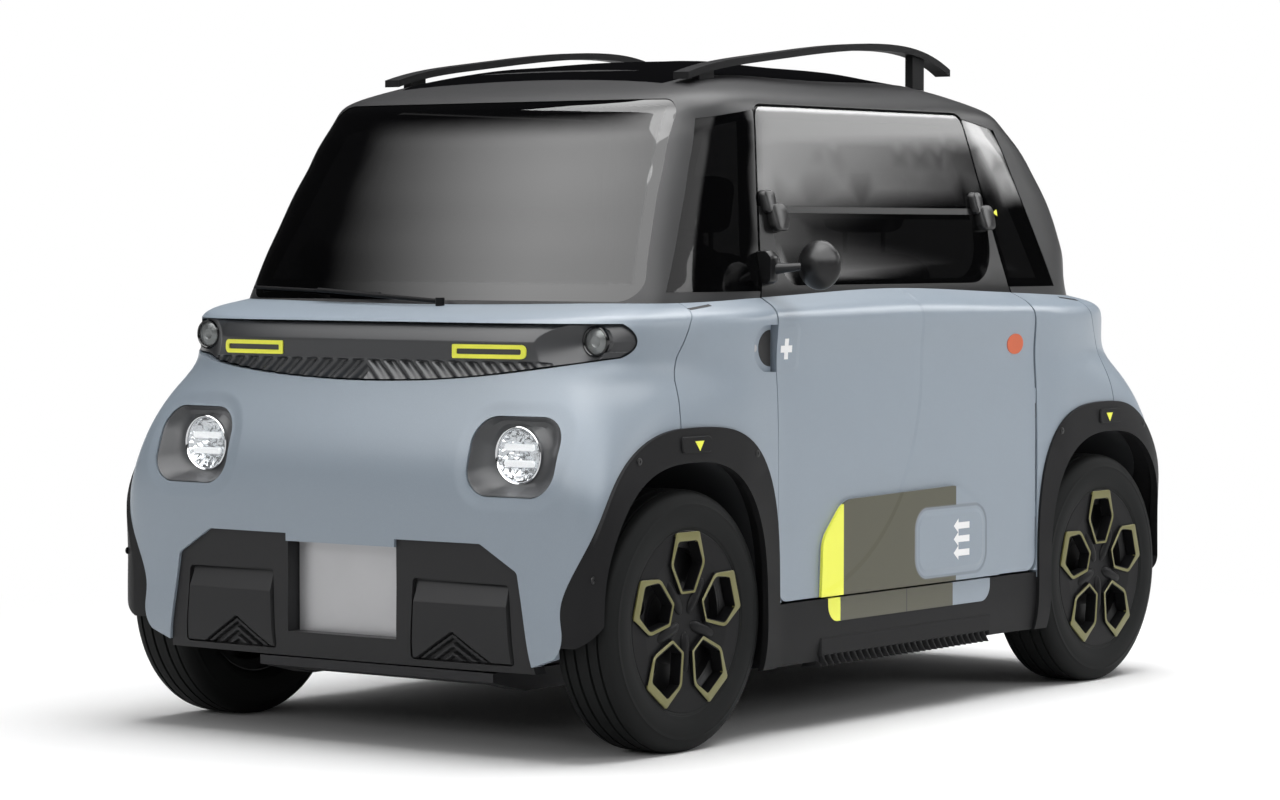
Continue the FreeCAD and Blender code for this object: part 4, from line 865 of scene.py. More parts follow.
def bar_depth(x, z):
    """Depth behind the skin: 13 mm at the top edge falling to 4 at the fold, 4 down the
    middle, then ribs between 6 and 16 mm that lean outward. The ends lie 6 mm deeper."""
    top = BAR_SUNK + BAR_SLOPE * np.clip((z - BAR_FOLD) / (BAR_TOP - BAR_FOLD), 0, 1)
    slant = np.clip((np.abs(x) - SLANT_START) / SLANT_LENGTH, 0, 1)
    top = top + slant * END_DEEPER * (z > BAR_FOLD - SLANT_DROP)
    rib = np.abs(((np.abs(x) + RIB_LEAN * z) / RIB_PITCH) % 1 - 0.5) * 2
    ribs = RIB_TOP + RIB_DEPTH * smooth_step(rib, 0.15, 0.85)
    below = smooth_step(BAR_MIDDLE - z, 0, 5)
    return top * (1 - below) + ribs * below


def bar_grid(columns=520, rows=64):
    """The bar's front face, with its edges folded back into the body."""
    u = np.linspace(-1, 1, columns)
    v = np.linspace(0, 1, rows)
    low = spline([p[0] for p in BAR_BOTTOM], [p[1] for p in BAR_BOTTOM], u * BAR_CORNER)
    z = low[None] + (BAR_TOP - low)[None] * v[:, None]
    middle = (BAR_CORNER_HEIGHTS[0] + BAR_CORNER_HEIGHTS[1]) / 2
    bulge = 1 - np.clip(np.abs(z - middle) / (BAR_CORNER_HEIGHTS[1] - middle), 0, 1) ** 2
    x = u[None] * (BAR_CORNER + (BAR_END - BAR_CORNER) * bulge)
    places = body_skin.hit(from_front(np.stack([x, z], -1)), REARWARD)
    depth = bar_depth(x, z)
    field = places[..., 1] + depth
    away = np.hypot(np.abs(x) - LAMP_X, z - LAMP_Z)
    cone = LAMP_Y - CONE_SLOPE * (away - LAMP_RADIUS)
    field = np.where(away < LAMP_RADIUS, LAMP_Y + 6, np.maximum(field, cone))
    front = np.stack([x, field, z], -1)
    back = places.copy()
    back[..., 1] = np.maximum(places[..., 1] + BAR_BACK, field + 2)
    edge = rim_mask(x.shape)
    front[edge] = back[edge]
    return front


bar_front = bar_grid()
bar_faces = grid_faces(*bar_front.shape[:2])
bar_surface = Faces(bar_front.reshape(-1, 3) * MM, bar_faces)
front_bar = (bar_front.reshape(-1, 3), bar_faces)
for end, move in ENDS:
    piece("light_bar_" + end, *move(front_bar), bar_plastic, stands_for=["light_bars"],
          sharp=25, facing=OUTWARD[end])

# %% Yellow bars and round lamps
MARK_LOW, MARK_HIGH = (238, 828.5), (421, 858)
SLOT_LOW, SLOT_HIGH, MARK_PROUD = (249, 837.5), (410, 849), 3.0
for side, sign in (("left", 1), ("right", -1)):
    outer = split(rounded(rectangle(MARK_LOW, MARK_HIGH), [3, 11, 11, 3], 5))
    inner = split(rounded(rectangle(SLOT_LOW, SLOT_HIGH), [2, 4, 4, 2], 5))
    bars = ring_plate(outer * (sign, 1), inner * (sign, 1), bar_surface, MARK_PROUD)
    piece("yellow_bars_" + side, *bars, yellow)

DOME = [(-7.0, 0.01), (-6.6, 8), (-5.2, 16), (-2.5, 23), (1.5, 28), (6, 28), (6, 0.01)]
RING = [(4, 27.5), (-2, 28), (-3.5, 30), (-2, 32), (6, 32), (6, 27.5)]
CORE = [(0.5, 0.01), (1.0, 10), (0.0, 12), (1.6, 20), (4.0, 26.5), (9, 27.2), (9, 0.01)]
for end, move in ENDS:
    for side, flip in SIDES:
        place = (LAMP_X, LAMP_Y, LAMP_Z)
        parts = [flip(move(spun(profile, place, 1))) for profile in (DOME, RING, CORE)]
        tag = "_" + end + "_" + side
        node = end + "_lamps"
        piece("round_lamp" + tag, *parts[0], clear if end == "front" else red_lens,
              stands_for=[node])
        piece("round_lamp_ring" + tag, *parts[1], gloss_black, stands_for=[node])
        piece("round_lamp_core" + tag, *parts[2], lamp_grey if end == "front" else red_reflector,
              stands_for=[node])
print("light bars made")

# %% [markdown]
# ## Headlamps
# Each lamp sits deep in a pod whose mouth is a rounded square. A boolean cut would leave hard
# edges, so the pod is a funnel whose rings go over from the square to the circle. The lens,
# the rim and the bowl are turned from profiles.

# %% The pods' funnel
POD_LOW, POD_HIGH, POD_CORNER = (337.0, 547.0), (556.0, 710.0), 56.0
HEAD_X, HEAD_Y, HEAD_Z, HEAD_RADIUS = 438.0, -1142.0, 630.0, 61.5
FUNNEL = ((0.0, 4.0), (0.03, 4.6), (0.08, 7.0), (0.30, 19.0), (0.60, 33.0), (0.86, 44.0),
          (0.97, 48.0), (1.0, 50.0))
POD_BACK, POD_FLOOR, POD_WELL = 58.0, 2, 26


def pod_solid():
    """The funnel's rings go from the square to the circle, ever deeper behind the skin."""
    square = rounded(rectangle(POD_LOW, POD_HIGH), POD_CORNER, steps=24)
    angle = np.arctan2(square[:, 1] - HEAD_Z, square[:, 0] - HEAD_X)
    disc = np.array((HEAD_X, HEAD_Z)) + HEAD_RADIUS * np.stack([np.cos(angle), np.sin(angle)], -1)
    skin = body_skin.hit(from_front(square), REARWARD)
    rings = [skin + (0, POD_BACK, 0)]
    for share, depth in FUNNEL:
        flat = square * (1 - share) + disc * share
        y = (skin[:, 1] + depth) * (1 - share) + (HEAD_Y + POD_FLOOR) * share
        rings.append(np.stack([flat[:, 0], y, flat[:, 1]], -1))
    deep = rings[-1].copy()
    deep[:, 1] = HEAD_Y + POD_WELL
    rings.append(deep)
    return loft(rings)


# %% The lamps
LENS = [(-6.5, 0.01), (-6.0, 18), (-4.0, 36), (-0.5, 48), (4, 55), (10, 56), (10, 0.01)]
LAMP_RIM = [(8, 54), (0, 55), (-3.5, 57), (-4.5, 59), (-3.5, 61), (0, 62), (8, 62)]
REFLECTOR = [(12, 0.01), (9, 14), (7, 30), (4.5, 44), (1.5, 55), (14, 56), (14, 0.01)]


ROD_HALF, ROD_CORNER, ROD_HEIGHTS = np.array((40, 7)), 6.5, (17, -17)


def lamp_bar(height):
    """One bright bar across the lamp, a rounded rod with flat ends."""
    centre = np.array((HEAD_X, HEAD_Z + height))
    outline = rounded(rectangle(tuple(centre - ROD_HALF), tuple(centre + ROD_HALF)), ROD_CORNER)
    rings = []
    for inset, y in ((0, 10), (0, 1.5), (2.5, -1.5)):
        middle = outline.mean(0)
        size = np.abs(outline - middle).max(0)
        flat = middle + (outline - middle) * (1 - inset / size)
        rings.append(np.insert(flat, 1, HEAD_Y + y, axis=1))
    return loft(rings)


pod_left = pod_solid()
print("pod points", len(pod_left[0]))
head_place = (HEAD_X, HEAD_Y, HEAD_Z)
for end, move in ENDS:
    both = [move(pod_left), move(mirrored(pod_left))]
    piece("lamp_pods_" + end, *join(both), pod_grey, stands_for=["lamp_pods"], sharp=28)
    lens_finish = clear if end == "front" else red_lens
    bowl_finish = lamp_white if end == "front" else red_reflector
    bar_finish = lamp_glow if end == "front" else red_reflector
    for name, parts, material in (
            ("lens", [spun(LENS, head_place, 1)], lens_finish),
            ("rim", [spun(LAMP_RIM, head_place, 1)], chrome),
            ("bowl", [spun(REFLECTOR, head_place, 1)], bowl_finish),
            ("bars", [lamp_bar(height) for height in ROD_HEIGHTS], bar_finish)):
        solids = [move(part) for part in parts] + [move(mirrored(part)) for part in parts]
        piece("headlamp_" + name + "_" + end, *join(solids), material,
              stands_for=[end + "_lamps"])
print("headlamps made")

# %% [markdown]
# ## Lower inserts
# Dark slatted fields lie sunk below the headlamps. Each slat could be a bar of its own, but that
# takes dozens of pieces. One grid is enough: its depth is a saw tooth along bent lines, which
# makes chevrons, under a sloping upper face.

# %% The slatted fields
FIELD_TOP, FIELD_FOLD, FIELD_SLATS, FIELD_FOOT = 366.0, 318.0, 252.0, 195.0
FIELD_SIDES = ((189.5, 458.5), (197.5, 444.5))
SLAT_PITCH, SLAT_SLOPE, SLAT_PEAK = 19.0, 0.62, 0.42
FIELD_SUNK, TOP_DEEPER, FOOT_DEEPER, EDGE_DEPTH = 2, 17, 3, 19.5
SLAT_TOP, SLAT_DEPTH = 8, 11


def field_grid(columns=90, rows=110):
    """A field's front: z' = z + 0.62 |x - peak| bends the slats into chevrons; the depth
    goes from 19 mm at the top edge to 2 at the fold, and the slats are saw teeth."""
    u, v = np.linspace(0, 1, columns)[None], np.linspace(0, 1, rows)[:, None]
    z = FIELD_FOOT + 2 + (FIELD_TOP - FIELD_FOOT - 5) * v + 0 * u
    share = (z - FIELD_FOOT) / (FIELD_TOP - FIELD_FOOT)
    inner = FIELD_SIDES[0][0] + (FIELD_SIDES[1][0] - FIELD_SIDES[0][0]) * share
    outer = FIELD_SIDES[0][1] + (FIELD_SIDES[1][1] - FIELD_SIDES[0][1]) * share
    x = inner + (outer - inner) * u
    slope = FIELD_SUNK + TOP_DEEPER * np.clip((z - FIELD_FOLD) / (FIELD_TOP - FIELD_FOLD), 0, 1)
    slope = slope + FOOT_DEEPER * np.clip((FIELD_FOLD - z) / (FIELD_FOLD - FIELD_FOOT), 0, 1)
    bent = z + SLAT_SLOPE * np.abs(x - inner - (outer - inner) * SLAT_PEAK)
    tooth = (bent / SLAT_PITCH) % 1
    teeth = smooth_step(tooth, 0.42, 0.50) * (1 - smooth_step(tooth, 0.94, 1.0))
    slats = SLAT_TOP + SLAT_DEPTH * teeth
    below = smooth_step(FIELD_SLATS + 8 - bent, 0, 2)
    depth = slope * (1 - below) + slats * below
    edge = np.minimum(np.minimum(x - inner, outer - x), np.minimum(z - FIELD_FOOT, FIELD_TOP - z))
    depth = depth + (EDGE_DEPTH - depth) * (1 - smooth_step(edge, 0.5, 5))
    places = body_skin.hit(from_front(np.stack([x, z], -1)), REARWARD)
    places[..., 1] += depth
    return places


field = field_grid()
left_field = (field.reshape(-1, 3), grid_faces(*field.shape[:2]))
for end, move in ENDS:
    solids = [move(left_field), move(mirrored(left_field))]
    for side, solid in zip(("a", "b"), solids):
        piece("insert_field_" + end + "_" + side, *solid, insert_plastic, sharp=25,
              facing=OUTWARD[end])
print("inserts made")

# %% [markdown]
# ## Wheels
# A tyre is the same all the way round, so a profile with four grooves in the tread and fine
# rings on the walls is turned round the axle. A torus with cuts would take longer and shade
# worse. The covers' gilt frames and rounded spokes are made once and swung round in fifths.

# %% The tyre's profile and the wheel's place
HALF_TYRE = [(55.5, 178.5), (60, 181), (66, 187), (70.5, 195), (71.6, 198.5), (72.6, 199.2),
             (73.4, 201.5), (73.6, 204.0), (75.4, 212), (76.9, 222), (77.3, 231), (76.9, 240),
             (76.2, 244.5), (76.5, 245.6), (76.2, 248.4), (75.3, 249.4), (73.8, 256), (71.6, 261.5),
             (69.8, 265), (67.5, 268.6), (64.5, 271.6), (60.5, 274.2), (56, 276), (51, 277.0),
             (46.5, 277.6), (45.8, 272.4), (41.2, 272.4), (40.5, 277.9), (19.6, 278.4),
             (18.9, 272.6), (13.6, 272.6), (12.9, 278.5)]
FRAME_OUTER = [(41.5, 189.0), (61.3, 122.0), (24.6, 59.8)]
FRAME_INNER = [(33.5, 170.5), (54.2, 123.6), (19.8, 64.6)]
COVER_BOX = [np.array(corner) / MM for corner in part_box("cover_front_left")]
TYRE_BOX = [np.array(corner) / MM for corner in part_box("tyre_front_left")]
wheel_x, wheel_y, wheel_z = (TYRE_BOX[0] + TYRE_BOX[1]) / 2
face_x = COVER_BOX[1][0]
print("wheel", wheel_x, wheel_y, wheel_z, "cover face", face_x)


# %% The covers' frames and spokes
def window_line(points, radii, turn):
    """A window's outline round the hub, in (y, z), with rounded corners."""
    half = list(points)
    outline = half + [(-across, radius) for across, radius in reversed(half)]
    line = rounded(outline, list(radii) + list(reversed(radii)))
    return np.stack(swung(line[:, 0], line[:, 1], turn), -1)


def cover_frames():
    """Five gilt frames, each a chamfered ring with an inner wall."""
    parts = []
    for i in range(5):
        turn = TURN * i / 5
        wide = window_line(FRAME_OUTER, (7, 26, 7), turn)
        narrow = window_line(FRAME_INNER, (9, 22, 7), turn)
        slim = wide + (narrow - wide) * 0.12
        rings = [np.insert(line, 0, face_x + x - wheel_x, axis=1)
                 for line, x in ((wide, -3.0), (wide, 0.2), (slim, 1.0), (narrow, 0.4),
                                 (narrow, -7.0))]
        parts.append((np.concatenate(rings), grid_faces(5, len(wide), True, True)))
    return join(parts)


SPOKE_CENTRE, SPOKE_SUNK, SPOKE_HALF = 66.0, 11, (9.0, 15.0, 46.0)


def cover_spokes():
    """Five rounded spokes between the windows, each a long superellipsoid."""
    up = np.linspace(-math.pi / 2, math.pi / 2, 24)[:, None]
    around = np.linspace(0, TURN, 32, endpoint=False)[None]
    x = np.cos(up) * np.cos(around) * SPOKE_HALF[0]
    across = np.cos(up) * np.sin(around) * SPOKE_HALF[1]
    along = np.sign(up) * np.abs(np.sin(up)) ** 0.75 * SPOKE_HALF[2] + 0 * around + SPOKE_CENTRE
    parts = []
    for i in range(5):
        turned_pair = swung(across, along, TURN * (i + 0.5) / 5)
        points = np.stack([x + face_x - wheel_x - SPOKE_SUNK, *turned_pair], -1).reshape(-1, 3)
        parts.append((points, grid_faces(24, 32, close_columns=True)))
    return join(parts)


# %% Four wheels
tyre_profile = HALF_TYRE + [(-x, r) for x, r in reversed(HALF_TYRE)]
tyre = spun(tyre_profile, (0, 0, 0), 0, count=160)
frames = cover_frames()
spokes = cover_spokes()
print("tyre points", len(tyre[0]), "frame points", len(frames[0]))
for corner in CORNERS:
    end = -1 if "front" in corner else 1
    side = 1 if "left" in corner else -1
    centre = np.array((side * wheel_x, end * abs(wheel_y), wheel_z))
    body = "wheel_" + corner
    piece("tread_" + corner, tyre[0] + centre, tyre[1], rubber, body,
          stands_for=["tyre_" + corner], sharp=30)
    points, faces = frames if side > 0 else turned(frames)
    piece("cover_frames_" + corner, points + centre, faces, gold, body, sharp=40)
    points, faces = spokes if side > 0 else turned(spokes)
    piece("cover_spokes_" + corner, points + centre, faces, moulding, body, sharp=60)
print("wheels made")

# %% [markdown]
# ## Mirrors
# Round mirrors stand off the doors on an arm and a rounded bracket. The shell is turned from its
# profile. The arm could be a curve with a bevel, but its section changes on the way, so it is
# lofted from oval to oval. The mirrors ride on the doors and swing out with them.

# %% Shell, glass, arm and bracket
MIRROR_CENTRE = (722.0, -460.0, 1023.0)
SHELL = [(-23, 0.01), (-22.6, 12), (-20.5, 22), (-14, 33), (-4, 44.5), (2, 50), (6, 52.6),
         (10, 53.8), (15, 53.9), (18, 52.6), (18.4, 50.4), (16.6, 48.6), (13.0, 48.4),
         (12.8, 0.01)]
GLASS = [(12.9, 0.01), (12.9, 48.2), (14.2, 48.2), (14.6, 0.01)]


def tube_between(start, stop, start_radii, stop_radii, count=28):
    """A tapering oval arm between two points, across X: radii along Y and Z."""
    rings = []
    for t in np.linspace(0, 1, 9):
        centre = np.array(start) * (1 - t) + np.array(stop) * t
        waist = 1 - 0.16 * math.sin(math.pi * t)
        ry, rz = (np.array(start_radii) * (1 - t) + np.array(stop_radii) * t) * waist
        flat = circle((0, 0), 1.0, count) * (ry, rz)
        rings.append(np.insert(flat, 0, 0, axis=1) + centre)
    return loft(rings)


def bracket():
    """The arm's foot: a rounded shield against the glass, thinning to its edges."""
    outline = rounded([(588, 975), (634, 984), (636, 1040), (622, 1055), (590, 1053)],
                      [10, 12, 14, 12, 10])
    middle = outline.mean(0)
    rings = []
    for scale, y in ((0.93, -507), (1.0, -503), (1.0, -484), (0.94, -477), (0.80, -473)):
        flat = middle + (outline - middle) * scale
        rings.append(np.insert(flat, 1, y, axis=1))
    return loft(rings)


shell = spun(SHELL, MIRROR_CENTRE, 1, 96)
glass_disc = spun(GLASS, MIRROR_CENTRE, 1, 96)
arm = tube_between((620, -487, 1014), (706, -465, 1021), (11, 15), (7, 8))
mirror_parts = join([shell, arm, bracket()])
for side, flip in SIDES:
    node = "mirror_" + side
    body = "door_" + side
    piece("mirror_shell_" + side, *flip(mirror_parts), satin_black, body, stands_for=[node])
    piece("mirror_glass_" + side, *flip(glass_disc), mirror_face, body, stands_for=[node])
print("mirrors made")

# %% [markdown]
# ## Seats
# The seats are firm foam under cloth, seen only through dark glass. Cloth could be simulated
# over them, but foam this firm hardly creases. A superellipsoid that swells towards its middle
# gives the crowned pad at once.

# %% Cushions, backs and headrests
SEATS = ((275.0, 0.0, "driver"), (-275.0, 60.0, "passenger"))
PAD_SQUARE = 0.36


def pad(centre, half, lean=0.0, crown=0.10, rows=40, columns=64):
    """A crowned pad: a superellipsoid |x|^n + |y|^n + |z|^n = 1 with n = 2 / 0.36, swollen
    towards its middle, and tilted about X by a lean."""
    up = np.linspace(-math.pi / 2, math.pi / 2, rows)[:, None]
    around = np.linspace(0, TURN, columns, endpoint=False)[None]

    def power(value):
        """sign(v) |v|^0.36, which squares a round section."""
        return np.sign(value) * np.abs(value) ** PAD_SQUARE

    x = power(np.cos(up)) * power(np.cos(around)) * half[0]
    y = power(np.cos(up)) * power(np.sin(around)) * half[1]
    z = power(np.sin(up)) * half[2] + 0 * around
    swell = (1 - (x / half[0]) ** 2) * (1 - (y / half[1]) ** 2)
    z = z * (1 + crown * swell * 2)
    points = np.stack([x, *swung(y, z, lean)], -1).reshape(-1, 3)
    return points + centre, grid_faces(rows, columns, close_columns=True)


BACK_LEAN, SEAT_LEAN = math.radians(79.4), math.radians(3)
# Each pad's Y and Z before its seat's shift, its half sizes and its lean.
PADS = (("cushion", 102, 434, (208, 212, 31), SEAT_LEAN),
        ("backrest", 352, 760, (202, 290, 26), BACK_LEAN),
        ("headrest", 412, 1166, (108, 70, 25), BACK_LEAN))
POST, POST_X, POST_Y, POST_Z = [(-40, 0.01), (-40, 6), (40, 6), (40, 0.01)], 55, 408, 1070
for x, shift, name in SEATS:
    post, post_faces = spun(POST, (0, 0, 0), 1, 16)
    posts = join([(post[:, (0, 2, 1)] + (x + dx, POST_Y + shift, POST_Z), post_faces)
                  for dx in (-POST_X, POST_X)])
    for part, y, z, half, lean in PADS:
        made = piece("seat_" + part + "_" + name, *pad((x, y + shift, z), half, lean), fabric,
                     stands_for=["seats"], sharp=80)
    piece("headrest_posts_" + name, *posts, dark_metal, stands_for=["seats"])
print("seats made")

# %% [markdown]
# ## Small fittings
# Steps under the doors, latch blocks at the ends of the window's rail, the roof glass's front
# field, the boss over the wheel arch with its triangle, slots, trim screws, and the handle's
# recess and lock. They could be painted on, but their shadows give so large an object its scale.
# The slots and the handle's recess are only thin near-black plates: painted shade for their
# openings.
# Rays set most of them on their surfaces, so that these do not hang in the air.

# %% Steps under the doors
trim_faces = node_faces("arch_trims")


def block(outline, skin, heights, insets):
    """A rounded block on a side: its outline shrinks by insets towards its top."""
    outline = np.asarray(outline, float)
    half = np.abs(outline - outline.mean(0)).max(0)
    ground = skin.hit(from_side(outline), INWARD)
    centre = ground.mean(0)
    return loft([centre + (ground - centre) * np.r_[1, 1 - inset / half] + (height, 0, 0)
                 for height, inset in zip(heights, insets)])


STEP_BACK, STEP_FRONT, STEP_LOW, STEP_LIP, STEP_HIGH = 353.0, -374.0, 138.0, 164.0, 205.0
STEP_FACE, STEP_ROOT, STEP_BEHIND, STEP_ROUND = 674.0, 640.0, 12, 5
STEP_PITCH, STEP_LEAN, STEP_SUNK, STEP_DEPTH = 25.0, 0.9, 2, 12


def step_solid(columns=520, rows=34):
    """The step under the door: a plain face with a rounded top edge, over slanting ribs."""
    y = np.linspace(STEP_FRONT, STEP_BACK, columns)[None]
    z = np.linspace(STEP_LOW, STEP_HIGH, rows)[:, None]
    rib = np.abs(((y + STEP_LEAN * z) / STEP_PITCH) % 1 - 0.5) * 2
    below = smooth_step(STEP_LIP - z, 0, 3)
    x = STEP_FACE - (STEP_SUNK + STEP_DEPTH * smooth_step(rib, 0.2, 0.8)) * below
    x = x - STEP_ROUND * smooth_step(z, STEP_HIGH - STEP_ROUND, STEP_HIGH)
    ends = np.minimum(y - STEP_FRONT, STEP_BACK - y)
    x = STEP_ROOT + (x - STEP_ROOT) * smooth_step(ends, -4, 10)
    front = np.stack([x, y + 0 * z, z + 0 * y], -1)
    back = front.copy()
    back[..., 0] = STEP_ROOT - STEP_BEHIND
    count = columns * rows
    faces = grid_faces(rows, columns)
    walls = []
    rim = ([(0, j) for j in range(columns)] + [(i, columns - 1) for i in range(1, rows)]
           + [(rows - 1, j) for j in range(columns - 2, -1, -1)]
           + [(i, 0) for i in range(rows - 2, 0, -1)])
    flat = [i * columns + j for i, j in rim]
    for a, b in zip(flat, flat[1:] + flat[:1]):
        walls.append((a, b, b + count, a + count))
    points = np.concatenate([front.reshape(-1, 3), back.reshape(-1, 3)])
    faces = [tuple(q) for q in faces] + [tuple(q[::-1] + count) for q in faces] + walls
    return points, faces


step = step_solid()
print("step points", len(step[0]))
for side, move in DOORS:
    piece("sill_step_" + side, *move(step), cladding, sharp=25)

# %% Latches, marks on the glass and the roof's front field
CLIPS = (((-462, 1136), (-418, 1187), 12, 13), ((-446, 1097), (-386, 1158), 18, 17),
         ((404, 1138), (446, 1190), 12, 13), ((420, 1101), (482, 1160), 18, 17))
clips = join([block(rounded(rectangle(low, high), corner), cabin_skin,
                    (-8, height - 6, height - 2, height), (0, 0, 2, 6))
              for low, high, corner, height in CLIPS])
on_doors("window_latches", clips, satin_black)
print("latches", len(CLIPS))
GLASS_MARK = [(500, 1142), (520, 1150), (520, 1134)]
mark_faces = node_faces("quarter_windows")
mark = raised(GLASS_MARK, mark_faces, 0.6, 1)
for side, move in DOORS:
    piece("glass_mark_" + side, *move(mark), yellow)

COVER_HALF, COVER_BACK, COVER_FRONT, COVER_BOW = 392.0, -360.0, -522.0, 30.0
COVER_LIFT, COVER_SUNK = 0.8, 2.5


def roof_cover(columns=90, rows=30):
    """The roof glass's front field, whose edge follows the head of the windscreen:
    y = front - bow (x / half)^2."""
    u = np.linspace(-1, 1, columns)[None]
    v = np.linspace(0, 1, rows)[:, None]
    x = COVER_HALF * u * (1 - 0.05 * (1 - v) ** 6)
    front = COVER_FRONT - COVER_BOW * u ** 2
    y = front + (COVER_BACK - front) * v
    origins = np.stack([x, y, 2 * FAR + 0 * x], -1)
    places = cabin_skin.hit(origins, (0, 0, -1), COVER_LIFT)
    edge = rim_mask(x.shape)
    edge[-1, 1:-1] = False
    places[edge, 2] -= COVER_SUNK
    return places.reshape(-1, 3), grid_faces(rows, columns)


piece("roof_front_field", *roof_cover(), roof_panel, facing=(0, 0, 1))
# %% Bosses, triangles, screws, slots, handles and locks
# Each fender slot is a thin near-black plate proud of the skin: painted shade for the slot's
# opening.
SLOT = [(-807, 929.5), (-727, 937.0), (-727, 940.5), (-807, 933.0)]
slot_ground = body_skin.hit(from_side(split(SLOT)), INWARD)
slot = loft([slot_ground - (1.5, 0, 1.5), slot_ground + (0.5, 0, 0.5)])

BOSS_LOW, BOSS_HIGH = (-917, 632), (-814, 667)
boss = block(rounded(rectangle(BOSS_LOW, BOSS_HIGH), 10), body_skin, (-1, 9, 11), (0, 0, 2))
TRIANGLE = [(-874, 657), (-843, 657), (-858, 636)]
triangle = raised(TRIANGLE, Faces(boss[0] * MM, boss[1]), 0.6, 1)
# The handle's recess is a thin near-black plate on the fender: painted shade in place of a hollow.
HANDLE_EDGE, HANDLE_Z, HANDLE_RADIUS, HANDLE_END = -545, 844, 44, 39
recess = [(y, HANDLE_Z + (z - HANDLE_Z) * 0.9)
          for y, z in circle((HANDLE_EDGE - 1, HANDLE_Z), HANDLE_RADIUS) if y <= HANDLE_EDGE]
recess = [(HANDLE_EDGE, HANDLE_Z + HANDLE_END), *recess, (HANDLE_EDGE, HANDLE_Z - HANDLE_END)]
handle = raised(recess, fender_faces, 0.8, 1)
lock = spun([(-3, 0.01), (-3, 8), (2, 8), (3, 6.5), (3, 0.01)], (663, -612, 845), 0, 32)
SCREWS = ((-1168, 383), (-1050, 621), (-639, 621), (-517.5, 186))
SCREW = [(-1.5, 0.01), (-1.5, 8), (0.8, 8), (1.6, 6.5), (1.6, 3.2), (0.2, 2.6), (0.2, 0.01)]
seats_of_screws = trim_faces.hit(from_side(SCREWS), INWARD)
screws = [spun(SCREW, place, 0, 32) for place in seats_of_screws if place[0] < FAR / 2]
FITTINGS = (("boss_", boss, cladding), ("boss_triangle_", triangle, yellow),
            ("trim_screws_", join(screws), satin_black), ("fender_slot_", slot, painted_shade_black))
for tag, flip, move in (("front_left", same, same), ("rear_right", same, turned),
                        ("front_right", mirrored, same), ("rear_left", mirrored, turned)):
    for name, solid, material in FITTINGS:
        piece(name + tag, *move(flip(solid)), material)
for tag, move in DOORS:
    piece("handle_recess_" + tag, *move(handle), painted_shade_black)
    piece("door_lock_" + tag, *move(lock), silver)
print("fittings made")

# %% [markdown]
# ## Studio
# The photo's camera, soft boxes, and a white floor that fades into a white surround. Glowing
# planes could make the reflections on the paint and the glass, but they would light the car as
# well. So the world holds them, and only rays that show the surroundings see them.

# %% Camera and area lights
def stand(data, place, turn):
    """Stands a camera or a light at a place, turned by a quaternion."""
    obj = bpy.data.objects.new(data.name, data)
    obj.matrix_world = Matrix.LocRotScale(Vector(place), turn, None)
    bpy.context.scene.collection.objects.link(obj)
    return obj


CAMERA_PLACE, LENS_LENGTH = (5.5600, -7.6469, 1.0803), 112.30
CAMERA_RIGHT, CAMERA_UP = (0.8041, 0.5945, 0.0006), (-0.0245, 0.0321, 0.9992)
CAMERA_BACK = (0.5940, -0.8034, 0.0404)
camera = bpy.data.cameras.new("camera")
camera.lens, camera.sensor_width, camera.clip_end = LENS_LENGTH, 36, 100
axes = Matrix((CAMERA_RIGHT, CAMERA_UP, CAMERA_BACK)).transposed()
bpy.context.scene.camera = stand(camera, CAMERA_PLACE, axes.to_quaternion())

# Area lights: where each stands, what it shines at, its width, height and power.
for name, place, target, width, height, power in (
        ("overhead", (0.4, 0.6, 5.0), (0, 0.1, 0), 4.5, 5.5, 385),
        ("side", (6.5, 1.5, 2.8), (0, 0.2, 0.7), 3.5, 2.0, 56),
        ("front", (-1.5, -7.5, 3.4), (0, 0, 0.7), 4.0, 2.0, 50)):
    light = bpy.data.lights.new(name, "AREA")
    light.shape = "RECTANGLE"
    light.size, light.size_y, light.energy = width, height, power
    stand(light, place, (Vector(target) - Vector(place)).to_track_quat("-Z", "Y"))

print("camera at", CAMERA_PLACE, "with a lens of", LENS_LENGTH, "mm")

# %% The surroundings
# Soft boxes that only shiny faces see: for each, the ranges of the direction's X, Y and Z
# over which it fades in or out, and its strength.
SOFT_BOXES = (
    ((("x", -0.69, -0.585), ("y", 0.02, -0.34), ("z", 0.30, 0.44)), 5.4),
    ((("x", 0.545, 0.525), ("x", 0.30, 0.36), ("y", 0.79, 0.82), ("z", 0.209, 0.244)), 6.0),
    ((("x", 0.47, 0.45), ("x", 0.38, 0.40), ("y", 0.855, 0.866), ("z", 0.202, 0.224)), 5.0),
    ((("x", 0.62, 0.74), ("y", 0.60, 0.52), ("z", 0.25, 0.40)), 1.3),
    ((("x", 0.48, 0.42), ("x", 0.18, 0.28), ("y", 0.74, 0.79), ("z", 0.34, 0.42),
      ("z", 0.62, 0.54)), 8.0))
world = bpy.data.worlds.new("studio")
world.use_nodes = True
sky = Tree(world.node_tree)
background = world.node_tree.nodes["Background"]
toward = sky.node("ShaderNodeTexCoord").outputs["Generated"]
direction = dict(zip("xyz", sky.node("ShaderNodeSeparateXYZ", {0: toward}).outputs))


def seen(tree):
    """1 for rays that show the surroundings, and 0 for those that light the car."""
    ray = tree.node("ShaderNodeLightPath").outputs
    shown = tree.math("MAXIMUM", ray["Is Camera Ray"], ray["Is Glossy Ray"])
    return tree.math("MAXIMUM", shown, ray["Is Transmission Ray"])


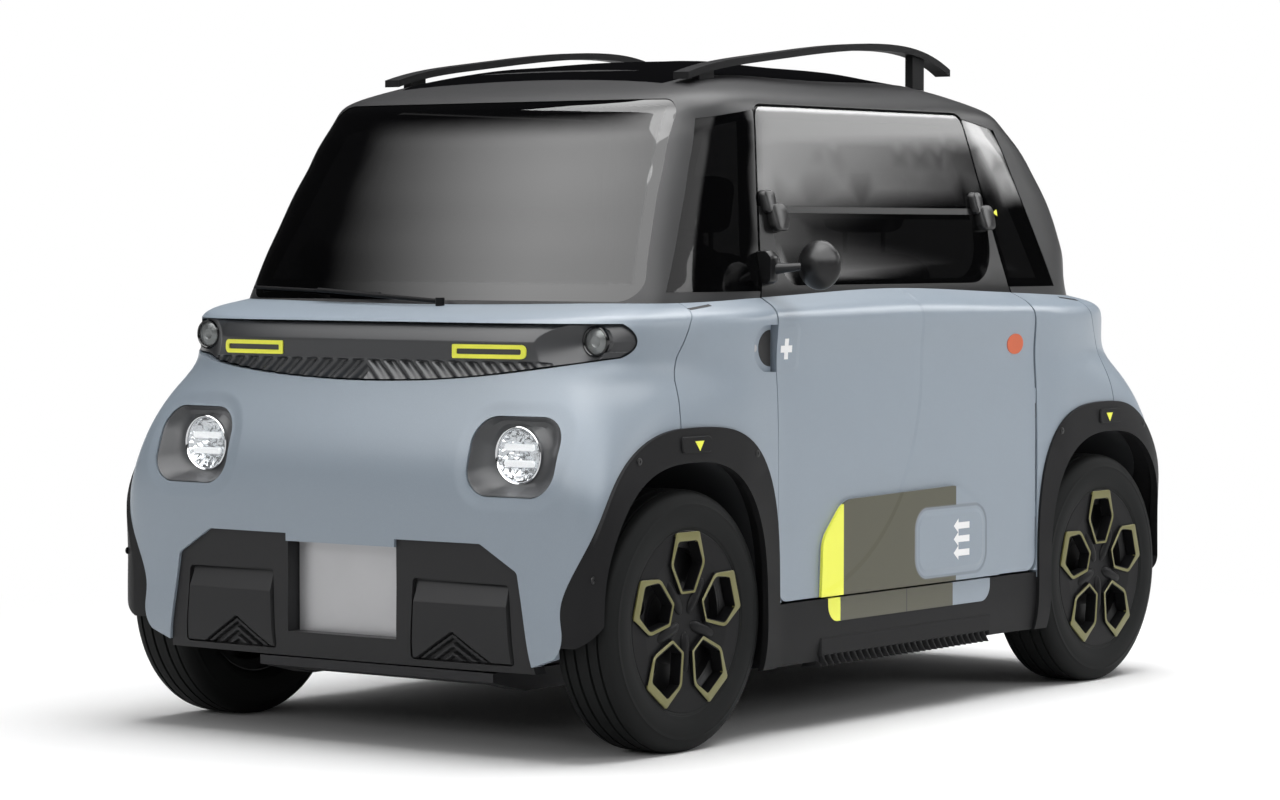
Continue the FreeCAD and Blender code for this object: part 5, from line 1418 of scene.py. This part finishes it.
shown = sky.fade(direction["z"], 0.10, 0.04)
for ranges, strength in SOFT_BOXES:
    glow = strength
    for axis, low, high in ranges:
        glow = sky.math("MULTIPLY", sky.fade(direction[axis], low, high), glow)
    shown = sky.math("ADD", shown, glow)
shown = sky.math("ADD", shown, 0.02)
AMBIENT_LOW, AMBIENT_HIGH = 0.14, 0.45
ambient = sky.ramp(direction["z"], -0.1, 1.0, AMBIENT_LOW, AMBIENT_HIGH)
lit = sky.node("ShaderNodeMix", {0: seen(sky), 2: ambient, 3: shown}).outputs[0]
camera_ray = sky.node("ShaderNodeLightPath").outputs["Is Camera Ray"]
strength = sky.node("ShaderNodeMix", {0: camera_ray, 2: lit, 3: 1.0}).outputs[0]
world.node_tree.links.new(strength, background.inputs["Strength"])
background.inputs["Color"].default_value = (1, 1, 1, 1)
bpy.context.scene.world = world
bpy.context.scene.view_settings.view_transform = "Standard"
print("soft boxes", len(SOFT_BOXES))

# %% The floor
FLOOR_RADIUS, FADE_START, FADE_STOP = 40.0, 1.7, 3.2
floor_material = finish("floor", srgb(244, 244, 244), 0.9, mottle=0.004, specular=0.0)
floor_tree = Tree(floor_material.node_tree)
x, y, _ = floor_tree.place()
away = floor_tree.math("SQRT", floor_tree.math(
    "ADD", floor_tree.math("POWER", x, 2.0), floor_tree.math("POWER", y, 2.0)))
white_out = floor_tree.math("MULTIPLY", floor_tree.fade(away, FADE_START, FADE_STOP),
                            seen(floor_tree))
glow = floor_tree.node("ShaderNodeEmission", {0: (1, 1, 1, 1), 1: 1.0}).outputs[0]
surface = floor_tree.shader.outputs[0]
blended = floor_tree.node("ShaderNodeMixShader", {0: white_out, 1: surface, 2: glow}).outputs[0]
floor_tree.put(floor_material.node_tree.nodes["Material Output"], {"Surface": blended})
rim = np.insert(circle((0, 0), FLOOR_RADIUS, 96), 2, 0, axis=1).tolist()
floor_mesh = bpy.data.meshes.new("floor")
floor_mesh.from_pydata(rim, [], [tuple(range(96))])
floor = bpy.data.objects.new("floor", floor_mesh)
floor_mesh.materials.append(floor_material)
bpy.context.scene.collection.objects.link(floor)
print("studio set")
